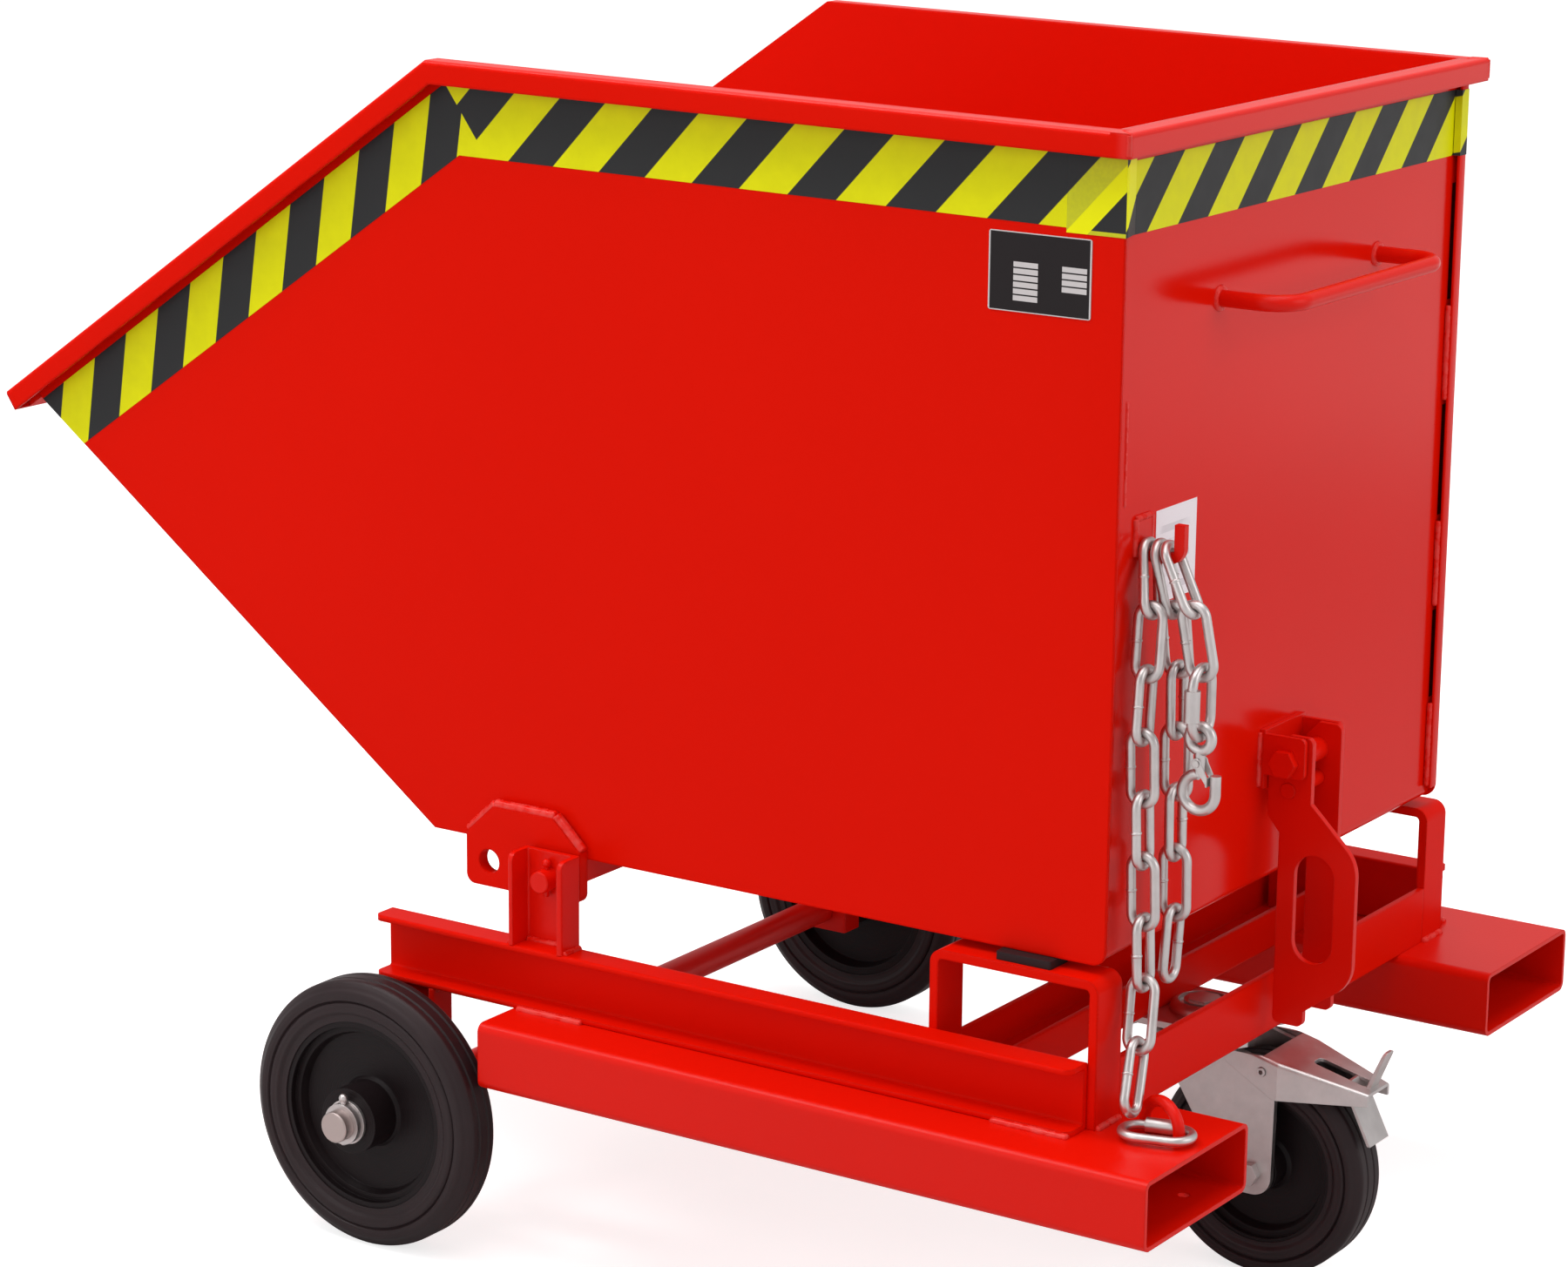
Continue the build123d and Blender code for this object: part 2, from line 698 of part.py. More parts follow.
def castor_axle():
    """The castor's axle bolt with head and nut, and the two pivot studs of the pedal."""
    reach = FORK_IN + FORK_T
    bolt = cross_bar(CASTOR_AXLE_X, CASTOR_R, CASTOR_AXLE_D, -reach - LOCK_HEAD_T, reach + LOCK_HEAD_T)
    bolt += hexagon(CASTOR_AXLE_X, CASTOR_R, LOCK_HEAD_D - 3 * SIDE, reach, reach + LOCK_HEAD_T)
    bolt += hexagon(CASTOR_AXLE_X, CASTOR_R, LOCK_HEAD_D - 3 * SIDE, -reach - LOCK_HEAD_T, -reach)
    stud_out = reach + SIDE + PEDAL_T + 2 * SIDE
    stud = cross_bar(PEDAL_X, PEDAL_Z, PEDAL_PIN_D, FORK_IN, stud_out)
    stud -= cross_bar(PEDAL_X, PEDAL_Z, PEDAL_RIVET_D, FORK_IN + FORK_T, stud_out + 1)
    return Compound([bolt, stud, other_side(stud)])


def castor_wheel_centre():
    """The castor's wheel centre."""
    body = wheel_body(
        CASTOR_SEAT_R,
        CASTOR_INNER_R,
        CASTOR_RIM_W,
        CASTOR_DISC_T,
        CASTOR_HUB_R,
        CASTOR_HUB_HALF,
        CASTOR_HUB_HALF,
        CASTOR_AXLE_D / 2 + RUN,
    )
    return Pos(CASTOR_AXLE_X, 0, CASTOR_R) * body


def castor_tyre():
    """The castor's tyre."""
    body = tyre_body(
        CASTOR_R, CASTOR_TYRE_W, CASTOR_SEAT_R, CASTOR_SEAT_W, CASTOR_BAND_R, CASTOR_TREAD_W
    )
    return Pos(CASTOR_AXLE_X, 0, CASTOR_R) * body


def pedal_height(x):
    """The height of the pedal's sloping top at a place along X."""
    share = (x - PEDAL_X) / (PEDAL_END_X - PEDAL_X)
    return PEDAL_TOP + share * (PEDAL_END_Z - PEDAL_TOP)


def on_pedal_shoulder(edge):
    """Whether an edge runs along one side of the pedal's sloping top."""
    middle = edge.center()
    return abs(middle.Y) > 1 and middle.X < PEDAL_X and abs(middle.Z - pedal_height(middle.X)) < RUN


def pedal_plan(half, end_half):
    """The pedal seen from above: straight beside the fork and narrower towards its end."""
    nose_x = PEDAL_X + PEDAL_NOSE
    taper_x = CASTOR_X - FORK_REAR - PEDAL_T
    left = [(nose_x, half), (taper_x, half), (PEDAL_END_X, end_half)]
    right = [(x, -y) for x, y in reversed(left)]
    return extrude(polygon(*left, *right), 2 * PEDAL_TOP)


def brake_pedal():
    """The pressed pedal over the castor wheel, with a bent-up tongue and a brake shoe."""
    inner = FORK_IN + FORK_T + SIDE
    outer = inner + PEDAL_T
    nose_x = PEDAL_X + PEDAL_NOSE
    low_x = PEDAL_X - PEDAL_DEPTH
    low = [(PEDAL_END_X, PEDAL_END_Z - PEDAL_DEPTH), (low_x, PEDAL_LOW_Z), (nose_x, PEDAL_TOP - PEDAL_DEPTH)]
    body = polygon((nose_x, PEDAL_TOP), (PEDAL_X, PEDAL_TOP), (PEDAL_END_X, PEDAL_END_Z), *low)
    inside = polygon(
        (nose_x, PEDAL_TOP + 1),
        (PEDAL_X, PEDAL_TOP + 1),
        (PEDAL_X, PEDAL_TOP - PEDAL_T),
        (PEDAL_END_X, PEDAL_END_Z - PEDAL_T),
        (PEDAL_END_X, PEDAL_SHOE_Z),
        (nose_x, PEDAL_SHOE_Z),
    )
    pedal = side_plate(body, -outer, outer) & pedal_plan(outer, PEDAL_END_HALF)
    pedal = fillet([e for e in pedal.edges() if on_pedal_shoulder(e)], PEDAL_EDGE_R)
    pedal -= side_plate(inside, -outer, outer) & pedal_plan(inner, PEDAL_END_HALF - PEDAL_T)
    foot_z = pedal_height(PEDAL_TAB_FOOT)
    slot_x = PEDAL_TAB_FOOT + PEDAL_SLOT_L / 2
    slot = Pos(slot_x, 0, foot_z) * Box(PEDAL_SLOT_L, PEDAL_SLOT_W, 4 * PEDAL_DEPTH)
    pedal -= fillet(slot.edges().filter_by(Axis.Z), PEDAL_CORNER_R)
    tongue = polygon(
        (PEDAL_TAB_FOOT, foot_z),
        (PEDAL_TAB_X + PEDAL_T, PEDAL_TAB_Z),
        (PEDAL_TAB_X, PEDAL_TAB_Z),
        (PEDAL_TAB_FOOT - PEDAL_T, foot_z - PEDAL_T),
    )
    tongue = side_plate(tongue, -PEDAL_SLOT_W / 2, PEDAL_SLOT_W / 2)
    tips = [e for e in tongue.edges() if e.center().Z > PEDAL_TAB_Z - 1 and e.length < 2 * PEDAL_T]
    pedal += fillet(tips, PEDAL_CORNER_R)
    shoe_top = pedal_height(PEDAL_SHOE_X) - PEDAL_T / 2
    shoe = polygon(
        (PEDAL_SHOE_X, shoe_top),
        (PEDAL_END_X, PEDAL_SHOE_Z),
        (PEDAL_END_X - PEDAL_T, PEDAL_SHOE_Z),
        (PEDAL_SHOE_X - PEDAL_T, shoe_top),
    )
    pedal += side_plate(shoe, -PEDAL_SHOE_HALF, PEDAL_SHOE_HALF)
    return pedal - cross_bar(PEDAL_X, PEDAL_Z, PEDAL_PIN_D + 2 * RUN, -2 * outer, 2 * outer)


def rim_height(x):
    """The height of the rim's top along the straight sides."""
    return RIM_Z + (x - REAR_X) * RISE_Z / RISE_X


def below_rim(depth):
    """The line of the rim's top moved inwards by a depth, as its kink and its tip in X and Z."""
    spread = 1 + RISE_X * SLOPE_X + RISE_Z * SLOPE_Z
    kink = (KINK_X + depth * (RISE_Z + SLOPE_Z) / spread, KINK_Z - depth * (RISE_X + SLOPE_X) / spread)
    tip = (TIP_X + depth * SLOPE_Z, TIP_Z - depth * SLOPE_X)
    return kink, tip


def skip_wall():
    """The left side wall of the skip, a flat sheet."""
    rear = REAR_X - REAR_LAP
    outline = polygon(
        (rear, FLOOR_Z),
        (FRONT_X, FLOOR_Z),
        (LIP_X, LIP_Z),
        (KINK_X, KINK_Z),
        (rear, rim_height(rear)),
    )
    outline = corners_near(outline, WALL_CORNER_R, (rear, FLOOR_Z))
    return side_plate(outline, WALL_Y - SHEET, WALL_Y)


def trough():
    """Rear wall, floor and front wall in one bent sheet between the side walls."""
    run = math.hypot(LIP_X - FRONT_X, LIP_Z - FLOOR_Z)
    over_x = LIP_X + RIM_H * (LIP_X - FRONT_X) / run
    over_z = LIP_Z + RIM_H * (LIP_Z - FLOOR_Z) / run
    above = KINK_Z + RIM_H
    outer = polygon((REAR_X, FLOOR_Z), (FRONT_X, FLOOR_Z), (over_x, over_z), (over_x, above), (REAR_X, above))
    outer = corners_near(outer, BEND_R, (REAR_X, FLOOR_Z), (FRONT_X, FLOOR_Z))
    lift = SHEET / math.cos(math.atan2(LIP_Z - FLOOR_Z, LIP_X - FRONT_X))
    slope = (LIP_Z - FLOOR_Z) / (LIP_X - FRONT_X)
    corner_x = FRONT_X + (SHEET - lift) / slope
    inner = polygon(
        (REAR_X + SHEET, FLOOR_Z + SHEET),
        (corner_x, FLOOR_Z + SHEET),
        (over_x, FLOOR_Z + lift + slope * (over_x - FRONT_X)),
        (over_x, 2 * above),
        (REAR_X + SHEET, 2 * above),
    )
    inner = corners_near(
        inner,
        BEND_R - SHEET,
        (REAR_X + SHEET, FLOOR_Z + SHEET),
        (corner_x, FLOOR_Z + SHEET),
    )
    keep = polygon((REAR_X, FLOOR_Z), (FRONT_X, FLOOR_Z), (LIP_X, LIP_Z), (KINK_X, KINK_Z), (REAR_X, RIM_Z))
    half = WALL_Y - SHEET
    sheet = side_plate(outer, -half, half) - side_plate(inner, -half - 1, half + 1)
    return sheet & side_plate(keep, -half, half)


def rim_band(top, bottom, rear, reach):
    """The outline of a side rim between two depths below its top line."""
    high_kink, high_tip = below_rim(top)
    low_kink, low_tip = below_rim(bottom)
    back_x = -reach * SLOPE_X
    back_z = -reach * SLOPE_Z
    return polygon(
        (rear, rim_height(rear) - top),
        high_kink,
        (high_tip[0] + back_x, high_tip[1] + back_z),
        (low_tip[0] + back_x, low_tip[1] + back_z),
        low_kink,
        (rear, rim_height(rear) - bottom),
    )


def side_rim(rear):
    """The left side of the rim, open below, from a rear end to the lip."""
    outer = side_plate(rim_band(0, RIM_H, rear, 0), WALL_Y, WALL_Y + RIM_W)
    top_edges = [
        e
        for e in outer.edges()
        if e.center().Y > WALL_Y + RIM_W - 1 and e.length > 4 * RIM_W and above_middle(e.center())
    ]
    outer = fillet(top_edges, RIM_EDGE_R)
    hollow = rim_band(SHEET, 2 * RIM_H, rear - 1, SHEET)
    return outer - side_plate(hollow, WALL_Y - 1, WALL_Y + RIM_W - SHEET)


def above_middle(point):
    """Whether a point of the rim lies nearer to its top line than to its underside."""
    along_top = rim_height(point.X) - point.Z
    if point.X > KINK_X:
        along_top = (point.X - KINK_X) * SLOPE_Z + (KINK_Z - point.Z) * SLOPE_X
    return along_top < RIM_H / 2


def rear_rim():
    """The rear side of the rim, open below and closed at both ends."""
    half = WALL_Y + RIM_W
    bar = block(REAR_X - RIM_W, REAR_X, -half, half, RIM_Z - RIM_H, RIM_Z)
    outer = bar.edges().group_by(Axis.X)[0]
    bar = fillet([e for e in outer if e.center().Z > RIM_Z - RIM_H + 1], RIM_EDGE_R)
    inner = half - SHEET
    hollow = block(
        REAR_X - RIM_W + SHEET,
        REAR_X + 1,
        -inner,
        inner,
        RIM_Z - 2 * RIM_H,
        RIM_Z - SHEET,
    )
    bar -= hollow
    for low, high in ((WALL_Y - SHEET, WALL_Y), (-WALL_Y, SHEET - WALL_Y)):
        bar -= block(REAR_X - REAR_LAP, REAR_X + 1, low, high, RIM_Z - 2 * RIM_H, RIM_Z + 1)
    return bar


def lip():
    """The front lip, a folded bar across the top of the front wall."""
    _, low_tip = below_rim(RIM_H)
    run_x = LIP_X - FRONT_X
    run_z = LIP_Z - FLOOR_Z
    drop = RIM_H / (run_z * SLOPE_X - run_x * SLOPE_Z)
    outline = polygon(
        (TIP_X, TIP_Z),
        (LIP_X, LIP_Z),
        (LIP_X - drop * run_x, LIP_Z - drop * run_z),
        low_tip,
    )
    outline = corners_near(outline, RIM_EDGE_R - SIDE, (TIP_X, TIP_Z))
    return side_plate(outline, -WALL_Y, WALL_Y)


def lug():
    """The left hinge lug of the skip with the pin hole and a spare hole in front of it."""
    middle = HINGE_X + HOLE_SPACING / 2
    outline = polygon(
        (middle - LUG_HALF, LUG_BOTTOM_Z),
        (middle + LUG_HALF, LUG_BOTTOM_Z),
        (middle + LUG_HALF, LUG_SHOULDER_Z),
        (middle + LUG_TOP_HALF, LUG_TOP_Z),
        (middle - LUG_TOP_HALF, LUG_TOP_Z),
        (middle - LUG_HALF, LUG_SHOULDER_Z),
    )
    feet = [(middle - LUG_HALF, LUG_BOTTOM_Z), (middle + LUG_HALF, LUG_BOTTOM_Z)]
    plate = side_plate(corners_near(outline, LUG_R, *feet), WALL_Y, WALL_Y + LUG_T)
    plate -= cross_bar(HINGE_X, HINGE_Z, PIN_D + 2 * RUN, WALL_Y - 1, WALL_Y + LUG_T + 1)
    return plate - cross_bar(HINGE_X + HOLE_SPACING, HINGE_Z, SPARE_D, WALL_Y - 1, WALL_Y + LUG_T + 1)


def stiffener():
    """The flat bar under the skip's floor, from lug to lug."""
    rear = HINGE_X + HOLE_SPACING / 2 - LUG_HALF
    return block(rear, rear + STIFFENER_T, -WALL_Y, WALL_Y, FLOOR_Z - STIFFENER_H, FLOOR_Z)


def push_handle():
    """The bent round bar on the rear wall."""
    out = REAR_X - HANDLE_OUT
    left = HANDLE_Y + HANDLE_HALF
    right = HANDLE_Y - HANDLE_HALF
    path = FilletPolyline(
        (REAR_X, left, HANDLE_Z),
        (out, left, HANDLE_Z),
        (out, right, HANDLE_Z),
        (REAR_X, right, HANDLE_Z),
        radius=HANDLE_R,
    )
    start = Plane((REAR_X, left, HANDLE_Z), z_dir=(-1, 0, 0))
    return sweep(start * Circle(HANDLE_D / 2), path=path)


def lock_bracket():
    """The bracket of the lock lever: a web on the rear wall and two tabs."""
    inner = LEVER_HALF + BRACKET_GAP
    outer = inner + BRACKET_T
    low = LOCK_Z - BRACKET_HALF_Z
    high = LOCK_Z + BRACKET_HALF_Z
    bracket = block(REAR_X - BRACKET_T, REAR_X, -outer, outer, low, high)
    for y0, y1 in ((inner, outer), (-outer, -inner)):
        tab = block(REAR_X - BRACKET_OUT, REAR_X, y0, y1, LOCK_Z - BRACKET_HALF_Z / 2, high - SHEET)
        ends = [e for e in tab.edges().filter_by(Axis.Y) if e.center().X < REAR_X - BRACKET_OUT + 1]
        bracket += fillet(ends, BRACKET_T)
    return bracket - cross_bar(LOCK_X, LOCK_Z, LOCK_BOLT_D, -2 * outer, 2 * outer)


def lock_bolt():
    """The pivot bolt of the lock lever with head and nut."""
    outer = LEVER_HALF + BRACKET_GAP + BRACKET_T
    bolt = cross_bar(LOCK_X, LOCK_Z, LOCK_BOLT_D, -outer - LOCK_HEAD_T - 2 * SIDE, outer)
    bolt += hexagon(LOCK_X, LOCK_Z, LOCK_HEAD_D, outer, outer + LOCK_HEAD_T)
    return bolt + hexagon(LOCK_X, LOCK_Z, LOCK_HEAD_D, -outer - LOCK_HEAD_T, -outer)


def shank_outline():
    """The outline that both lever plates share."""
    rear = LOCK_X - LEVER_SIDE
    top = LOCK_Z + LEVER_TOP
    step = LOCK_X - SHANK_FRONT
    outline = polygon(
        (rear, LEVER_FOOT_Z),
        (rear, top),
        (LOCK_X, top),
        (LOCK_X + LEVER_SIDE / 2, LOCK_Z + LEVER_SIDE / 2),
        (LOCK_X + LEVER_FRONT, LOCK_Z - LEVER_SIDE / 2),
        (LOCK_X + LEVER_FRONT, SHOULDER_Z),
        (SHANK_FRONT, SHOULDER_Z + 2 * step),
        (SHANK_FRONT, LEVER_FOOT_Z),
    )
    return corners_near(outline, LEVER_T, (rear, top), (rear, LEVER_FOOT_Z), (SHANK_FRONT, LEVER_FOOT_Z))


def lever_plate(outline, y0, y1):
    """A lever plate with its bolt hole and the hole of the cross pin."""
    plate = side_plate(outline, y0, y1)
    plate -= cross_bar(LOCK_X, LOCK_Z, LOCK_BOLT_D + 2 * RUN, y0 - 1, y1 + 1)
    return plate - cross_bar(LOCK_X, LOCK_Z - CROSS_PIN_DROP, CROSS_PIN_D, y0 - 1, y1 + 1)


def lever_grip_plate():
    """The left lever plate, which swells into a grip with a long hole."""
    rear = LOCK_X - LEVER_SIDE
    grip = polygon(
        (rear + SIDE, GRIP_TOP + LEVER_SIDE),
        (rear, GRIP_TOP + LEVER_SIDE),
        (GRIP_X, GRIP_TOP - LEVER_SIDE),
        (GRIP_X, GRIP_BOTTOM + LEVER_SIDE / 2),
        (rear, GRIP_BOTTOM - LEVER_SIDE),
        (rear + SIDE, GRIP_BOTTOM - LEVER_SIDE),
    )
    grip = corners_near(
        grip, GRIP_R, (GRIP_X, GRIP_TOP - LEVER_SIDE), (GRIP_X, GRIP_BOTTOM + LEVER_SIDE / 2)
    )
    slot = Pos(SLOT_X, SLOT_Z) * Rot(0, 0, 90) * SlotOverall(SLOT_H, SLOT_W)
    return lever_plate(shank_outline() + grip - slot, LEVER_HALF - LEVER_T, LEVER_HALF)


def lever_plain_plate():
    """The right lever plate, without a grip."""
    return lever_plate(shank_outline(), -LEVER_HALF, LEVER_T - LEVER_HALF)


def lever_spacer():
    """The spacer tube on the bolt between the lever plates."""
    half = LEVER_HALF - LEVER_T
    tube = cross_bar(LOCK_X, LOCK_Z, SPACER_D, -half, half)
    return tube - cross_bar(LOCK_X, LOCK_Z, LOCK_BOLT_D + 2 * RUN, -half - 1, half + 1)


def lever_pin():
    """The cross pin that ties the lever plates together."""
    return cross_bar(LOCK_X, LOCK_Z - CROSS_PIN_DROP, CROSS_PIN_D, -LEVER_HALF, LEVER_HALF + SIDE)


def chain_hook():
    """The flat hook that the chain hangs on, with its pad on the rear wall."""
    tip = REAR_X - HOOK_REACH
    low = HOOK_Z - HOOK_BAR
    outline = polygon(
        (REAR_X, HOOK_Z),
        (REAR_X, low),
        (tip, low),
        (tip, HOOK_Z + HOOK_UP),
        (tip + HOOK_BAR, HOOK_Z + HOOK_UP),
        (tip + HOOK_BAR, HOOK_Z),
    )
    outline = corners_near(outline, HOOK_BEND_R, (tip, low))
    hook = side_plate(outline, HOOK_Y - HOOK_T / 2, HOOK_Y + HOOK_T / 2)
    half = HOOK_PAD_W / 2
    foot = HOOK_Z - HOOK_BAR / 2
    return hook + block(REAR_X - HOOK_PAD_T, REAR_X, HOOK_Y - half, HOOK_Y + half, foot, foot + HOOK_PAD_H)


def oval(inner, gap, wire):
    """A closed link of round wire, long along X, lying in the XY plane."""
    radius = (gap + wire) / 2
    straight = inner - gap
    ring = Torus(radius, wire / 2)
    half = 2 * radius
    bow = ring & Pos(half, 0, 0) * Box(2 * half, 2 * half, 2 * half)
    link = Pos(straight / 2, 0, 0) * bow + Pos(-straight / 2, 0, 0) * Rot(0, 0, 180) * bow
    for side in (-1, 1):
        link += Pos(0, side * radius, 0) * Rot(0, 90, 0) * Cylinder(wire / 2, straight)
    return link


def strand(points, spin):
    """Links along a list of joint points, each turned a quarter against the one before."""
    links = []
    for index in range(len(points) - 1):
        start = Vector(*points[index])
        end = Vector(*points[index + 1])
        along = (end - start).normalized()
        across = along.cross(Vector(math.sin(spin), math.cos(spin), 0)).normalized()
        normal = across if index % 2 == 0 else along.cross(across)
        seat = Plane((start + end) / 2, x_dir=along, z_dir=normal)
        links.append(seat.location * oval(LINK_IN, LINK_GAP, WIRE))
    return links


def walk(start, *legs):
    """Joint points from a start: each leg is a number of links and a lean along X and Y."""
    points = [start]
    for count, lean_x, lean_y in legs:
        fall = math.sqrt(LINK_PITCH**2 - lean_x**2 - lean_y**2)
        for _ in range(count):
            x, y, z = points[-1]
            points.append((x + lean_x, y + lean_y, z - fall))
    return points


HOOK_SEAT = HOOK_Z + LINK_GAP / 2 - math.sqrt((LINK_GAP / 2) ** 2 - (HOOK_T / 2) ** 2) + HOOK_SLACK
HOOK_STEP = WIRE + SIDE + RUN
HOOK_FIRST = REAR_X - HOOK_PAD_T - WIRE / 2 - SIDE
TAIL_POINTS = walk(
    (HOOK_FIRST, HOOK_Y, HOOK_SEAT),
    (1, -11.0, 15.5),
    (2, -1.0, 6.0),
    (4, -2.0, 0.0),
    (1, -4.0, 13.0),
    (1, -8.0, 25.0),
)
LOOP_POINTS = walk(
    (HOOK_FIRST - HOOK_STEP, HOOK_Y, HOOK_SEAT),
    (1, -11.0, -5.0),
    (1, -1.0, -8.0),
    (4, -0.5, -1.0),
    (1, 0.0, 6.0),
)
END_POINTS = walk(
    (HOOK_FIRST - 2 * HOOK_STEP, HOOK_Y, HOOK_SEAT),
    (1, -24.0, 4.0),
    (1, -10.0, -1.0),
)


def chain_tail():
    """The strand from the hook down to the eye on the left pocket."""
    return Compound(strand(TAIL_POINTS, 0))


def chain_loop():
    """The strand that hangs beside it as a loop."""
    return Compound(strand(LOOP_POINTS, 0))


def chain_end():
    """The free end of the chain above its quick link."""
    return Compound(strand(END_POINTS, 0))


def quick_link(side):
    """An oval link along X in the XY plane, with a screw sleeve on the given side, 1 or -1."""
    radius = (RING_GAP + WIRE) / 2
    link = oval(RING_IN, RING_GAP, WIRE)
    return link + Pos(0, side * radius, 0) * Rot(0, 90, 0) * Cylinder(SLEEVE_D / 2, SLEEVE_L)


def end_quick_link():
    """The quick link between the chain's free end and the safety hook."""
    x, y, z = END_POINTS[-1]
    seat = Plane((x, y, z - quick_drop()), x_dir=(0, 0, -1), z_dir=(1, 0, 0))
    return seat.location * quick_link(1)


def quick_drop():
    """How far a quick link's middle hangs below the joint above it."""
    return RING_IN / 2 - QUICK_SLACK


def safety_hook_top():
    """The centre of the safety hook's eye."""
    x, y, z = END_POINTS[-1]
    low = z - quick_drop() - RING_IN / 2
    return x, y, low - SAFETY_EYE_R + SAFETY_D / 2 + CHAIN_SLACK


def latch_pivot_z():
    """The height of the latch's rivet, halfway down the neck of the safety hook."""
    return safety_hook_top()[2] - SAFETY_EYE_R - SAFETY_NECK / 2


def safety_hook():
    """The safety hook at the end of the chain: an eye, a neck, a bow, a tip and the latch's rivet."""
    x, y, z = safety_hook_top()
    eye = Torus(SAFETY_EYE_R, SAFETY_D / 2)
    upright = Pos(x, y, z) * Rot(90, 0, 0)
    bow_z = z - SAFETY_EYE_R - SAFETY_NECK - SAFETY_BOW_R
    neck = post(x, y, SAFETY_D, bow_z + SAFETY_BOW_R - SIDE, z - SAFETY_EYE_R + SIDE)
    side = 2 * SAFETY_BOW_R
    ring = Pos(x, y, bow_z) * Rot(90, 0, 0) * Torus(SAFETY_BOW_R, SAFETY_D / 2)
    gap = block(x - side, x, y - side, y + side, bow_z, bow_z + side)
    bow = ring - gap
    tip = post(x - SAFETY_BOW_R, y, SAFETY_D, bow_z, bow_z + SAFETY_TIP)
    reach = SAFETY_D / 2 + RUN + LATCH_T + RUN
    rivet = cross_bar(x, latch_pivot_z(), LATCH_PIN_D, y - reach - SIDE, y + reach + SIDE)
    rivet += cross_bar(x, latch_pivot_z(), LATCH_HEAD_D, y - reach - SIDE, y - reach)
    rivet += cross_bar(x, latch_pivot_z(), LATCH_HEAD_D, y + reach, y + reach + SIDE)
    return upright * eye + neck + bow + tip + rivet


def hook_latch():
    """The spring latch across the mouth of the safety hook: two cheeks on the rivet and a web."""
    x, y, z = safety_hook_top()
    bow_z = z - SAFETY_EYE_R - SAFETY_NECK - SAFETY_BOW_R
    pivot_z = latch_pivot_z()
    far = x - SAFETY_BOW_R + SAFETY_D / 2 + RUN
    low = bow_z + SAFETY_TIP - SAFETY_D
    inner = SAFETY_D / 2 + RUN
    outer = inner + LATCH_T
    web = block(far, far + LATCH_T, y - outer, y + outer, low, low + LATCH_WEB)
    arm = polygon((far, low), (far, low + LATCH_WEB), (x - LATCH_EYE_R, pivot_z), (x, pivot_z - LATCH_EYE_R))
    latch = web
    for y0, y1 in ((y - outer, y - inner), (y + inner, y + outer)):
        latch += side_plate(arm, y0, y1) + cross_bar(x, pivot_z, 2 * LATCH_EYE_R, y0, y1)
    return latch - cross_bar(x, pivot_z, LATCH_PIN_D + 2 * RUN, y - 2 * outer, y + 2 * outer)


def chain_eye():
    """The half ring on the left pocket that holds the chain's quick link."""
    size = 4 * EYE_R
    ring = Pos(0, 0, EYE_LEG) * Rot(90, 0, 0) * Torus(EYE_R, EYE_D / 2)
    ring &= block(-size, size, -size, size, EYE_LEG, size)
    for side in (-1, 1):
        ring += post(side * EYE_R, 0, EYE_D, 0, EYE_LEG)
    return Pos(EYE_X, EYE_Y, POCKET_TOP) * Rot(0, 0, -EYE_TURN) * ring


def eye_quick_link():
    """The quick link that lies on the pocket, its sleeve under the eye."""
    turn = math.radians(RING_TURN)
    offset = (RING_GAP + WIRE) / 2
    place = Pos(
        EYE_X - offset * math.sin(turn),
        EYE_Y + offset * math.cos(turn),
        POCKET_TOP + SLEEVE_D / 2,
    )
    return place * Rot(0, 0, RING_TURN) * quick_link(-1)


def side_tape():
    """The warning tape on the left wall, along the rim and down its slope."""
    top = RIM_H + TAPE_GAP
    bottom = top + TAPE_H
    high_kink, high_tip = below_rim(top)
    low_kink, low_tip = below_rim(bottom)
    rear = REAR_X - REAR_LAP
    high = rim_height(rear)
    band = polygon((rear, high - top), high_kink, high_tip, low_tip, low_kink, (rear, high - bottom))
    wall = polygon((rear, FLOOR_Z), (FRONT_X, FLOOR_Z), (LIP_X, LIP_Z), (KINK_X, KINK_Z), (rear, high))
    return side_plate(band & wall, WALL_Y, WALL_Y + TAPE_T)


def rear_tape():
    """The warning tape on the rear wall."""
    half = WALL_Y - SHEET
    top = RIM_Z - RIM_H - REAR_TAPE_GAP
    return block(REAR_X - TAPE_T, REAR_X, -half, half, top - TAPE_H, top)


def type_plate():
    """The bare type plate on the left wall."""
    plate = block(
        PLATE_X - PLATE_L / 2,
        PLATE_X + PLATE_L / 2,
        WALL_Y,
        WALL_Y + PLATE_THICK,
        PLATE_Z - PLATE_H / 2,
        PLATE_Z + PLATE_H / 2,
    )
    return fillet(plate.edges().filter_by(Axis.Y), 2 * SIDE)


def paper_label():
    """The bare paper label on the rear wall."""
    return block(
        REAR_X - TAPE_T,
        REAR_X,
        LABEL_Y - LABEL_W / 2,
        LABEL_Y + LABEL_W / 2,
        LABEL_Z - LABEL_H / 2,
        LABEL_Z + LABEL_H / 2,
    )


def rim():
    """The whole rim: two sides, the rear and the lip, welded into one piece."""
    left = side_rim(REAR_X)
    return left + other_side(left) + rear_rim() + lip()


def both(shape):
    """Two equal pieces, left and right, in one group."""
    return Compound([shape, other_side(shape)])


PAIRS = {
    "pocket": fork_pocket(),
    "rail": rail(),
    "hinge_post": hinge_post(),
    "axle_bracket": axle_bracket(),
    "support": rear_support(),
    "wheel": front_wheel_centre(),
    "tyre": front_tyre(),
    "skip_wall": skip_wall(),
    "lug": lug(),
    "side_tape": side_tape(),
}

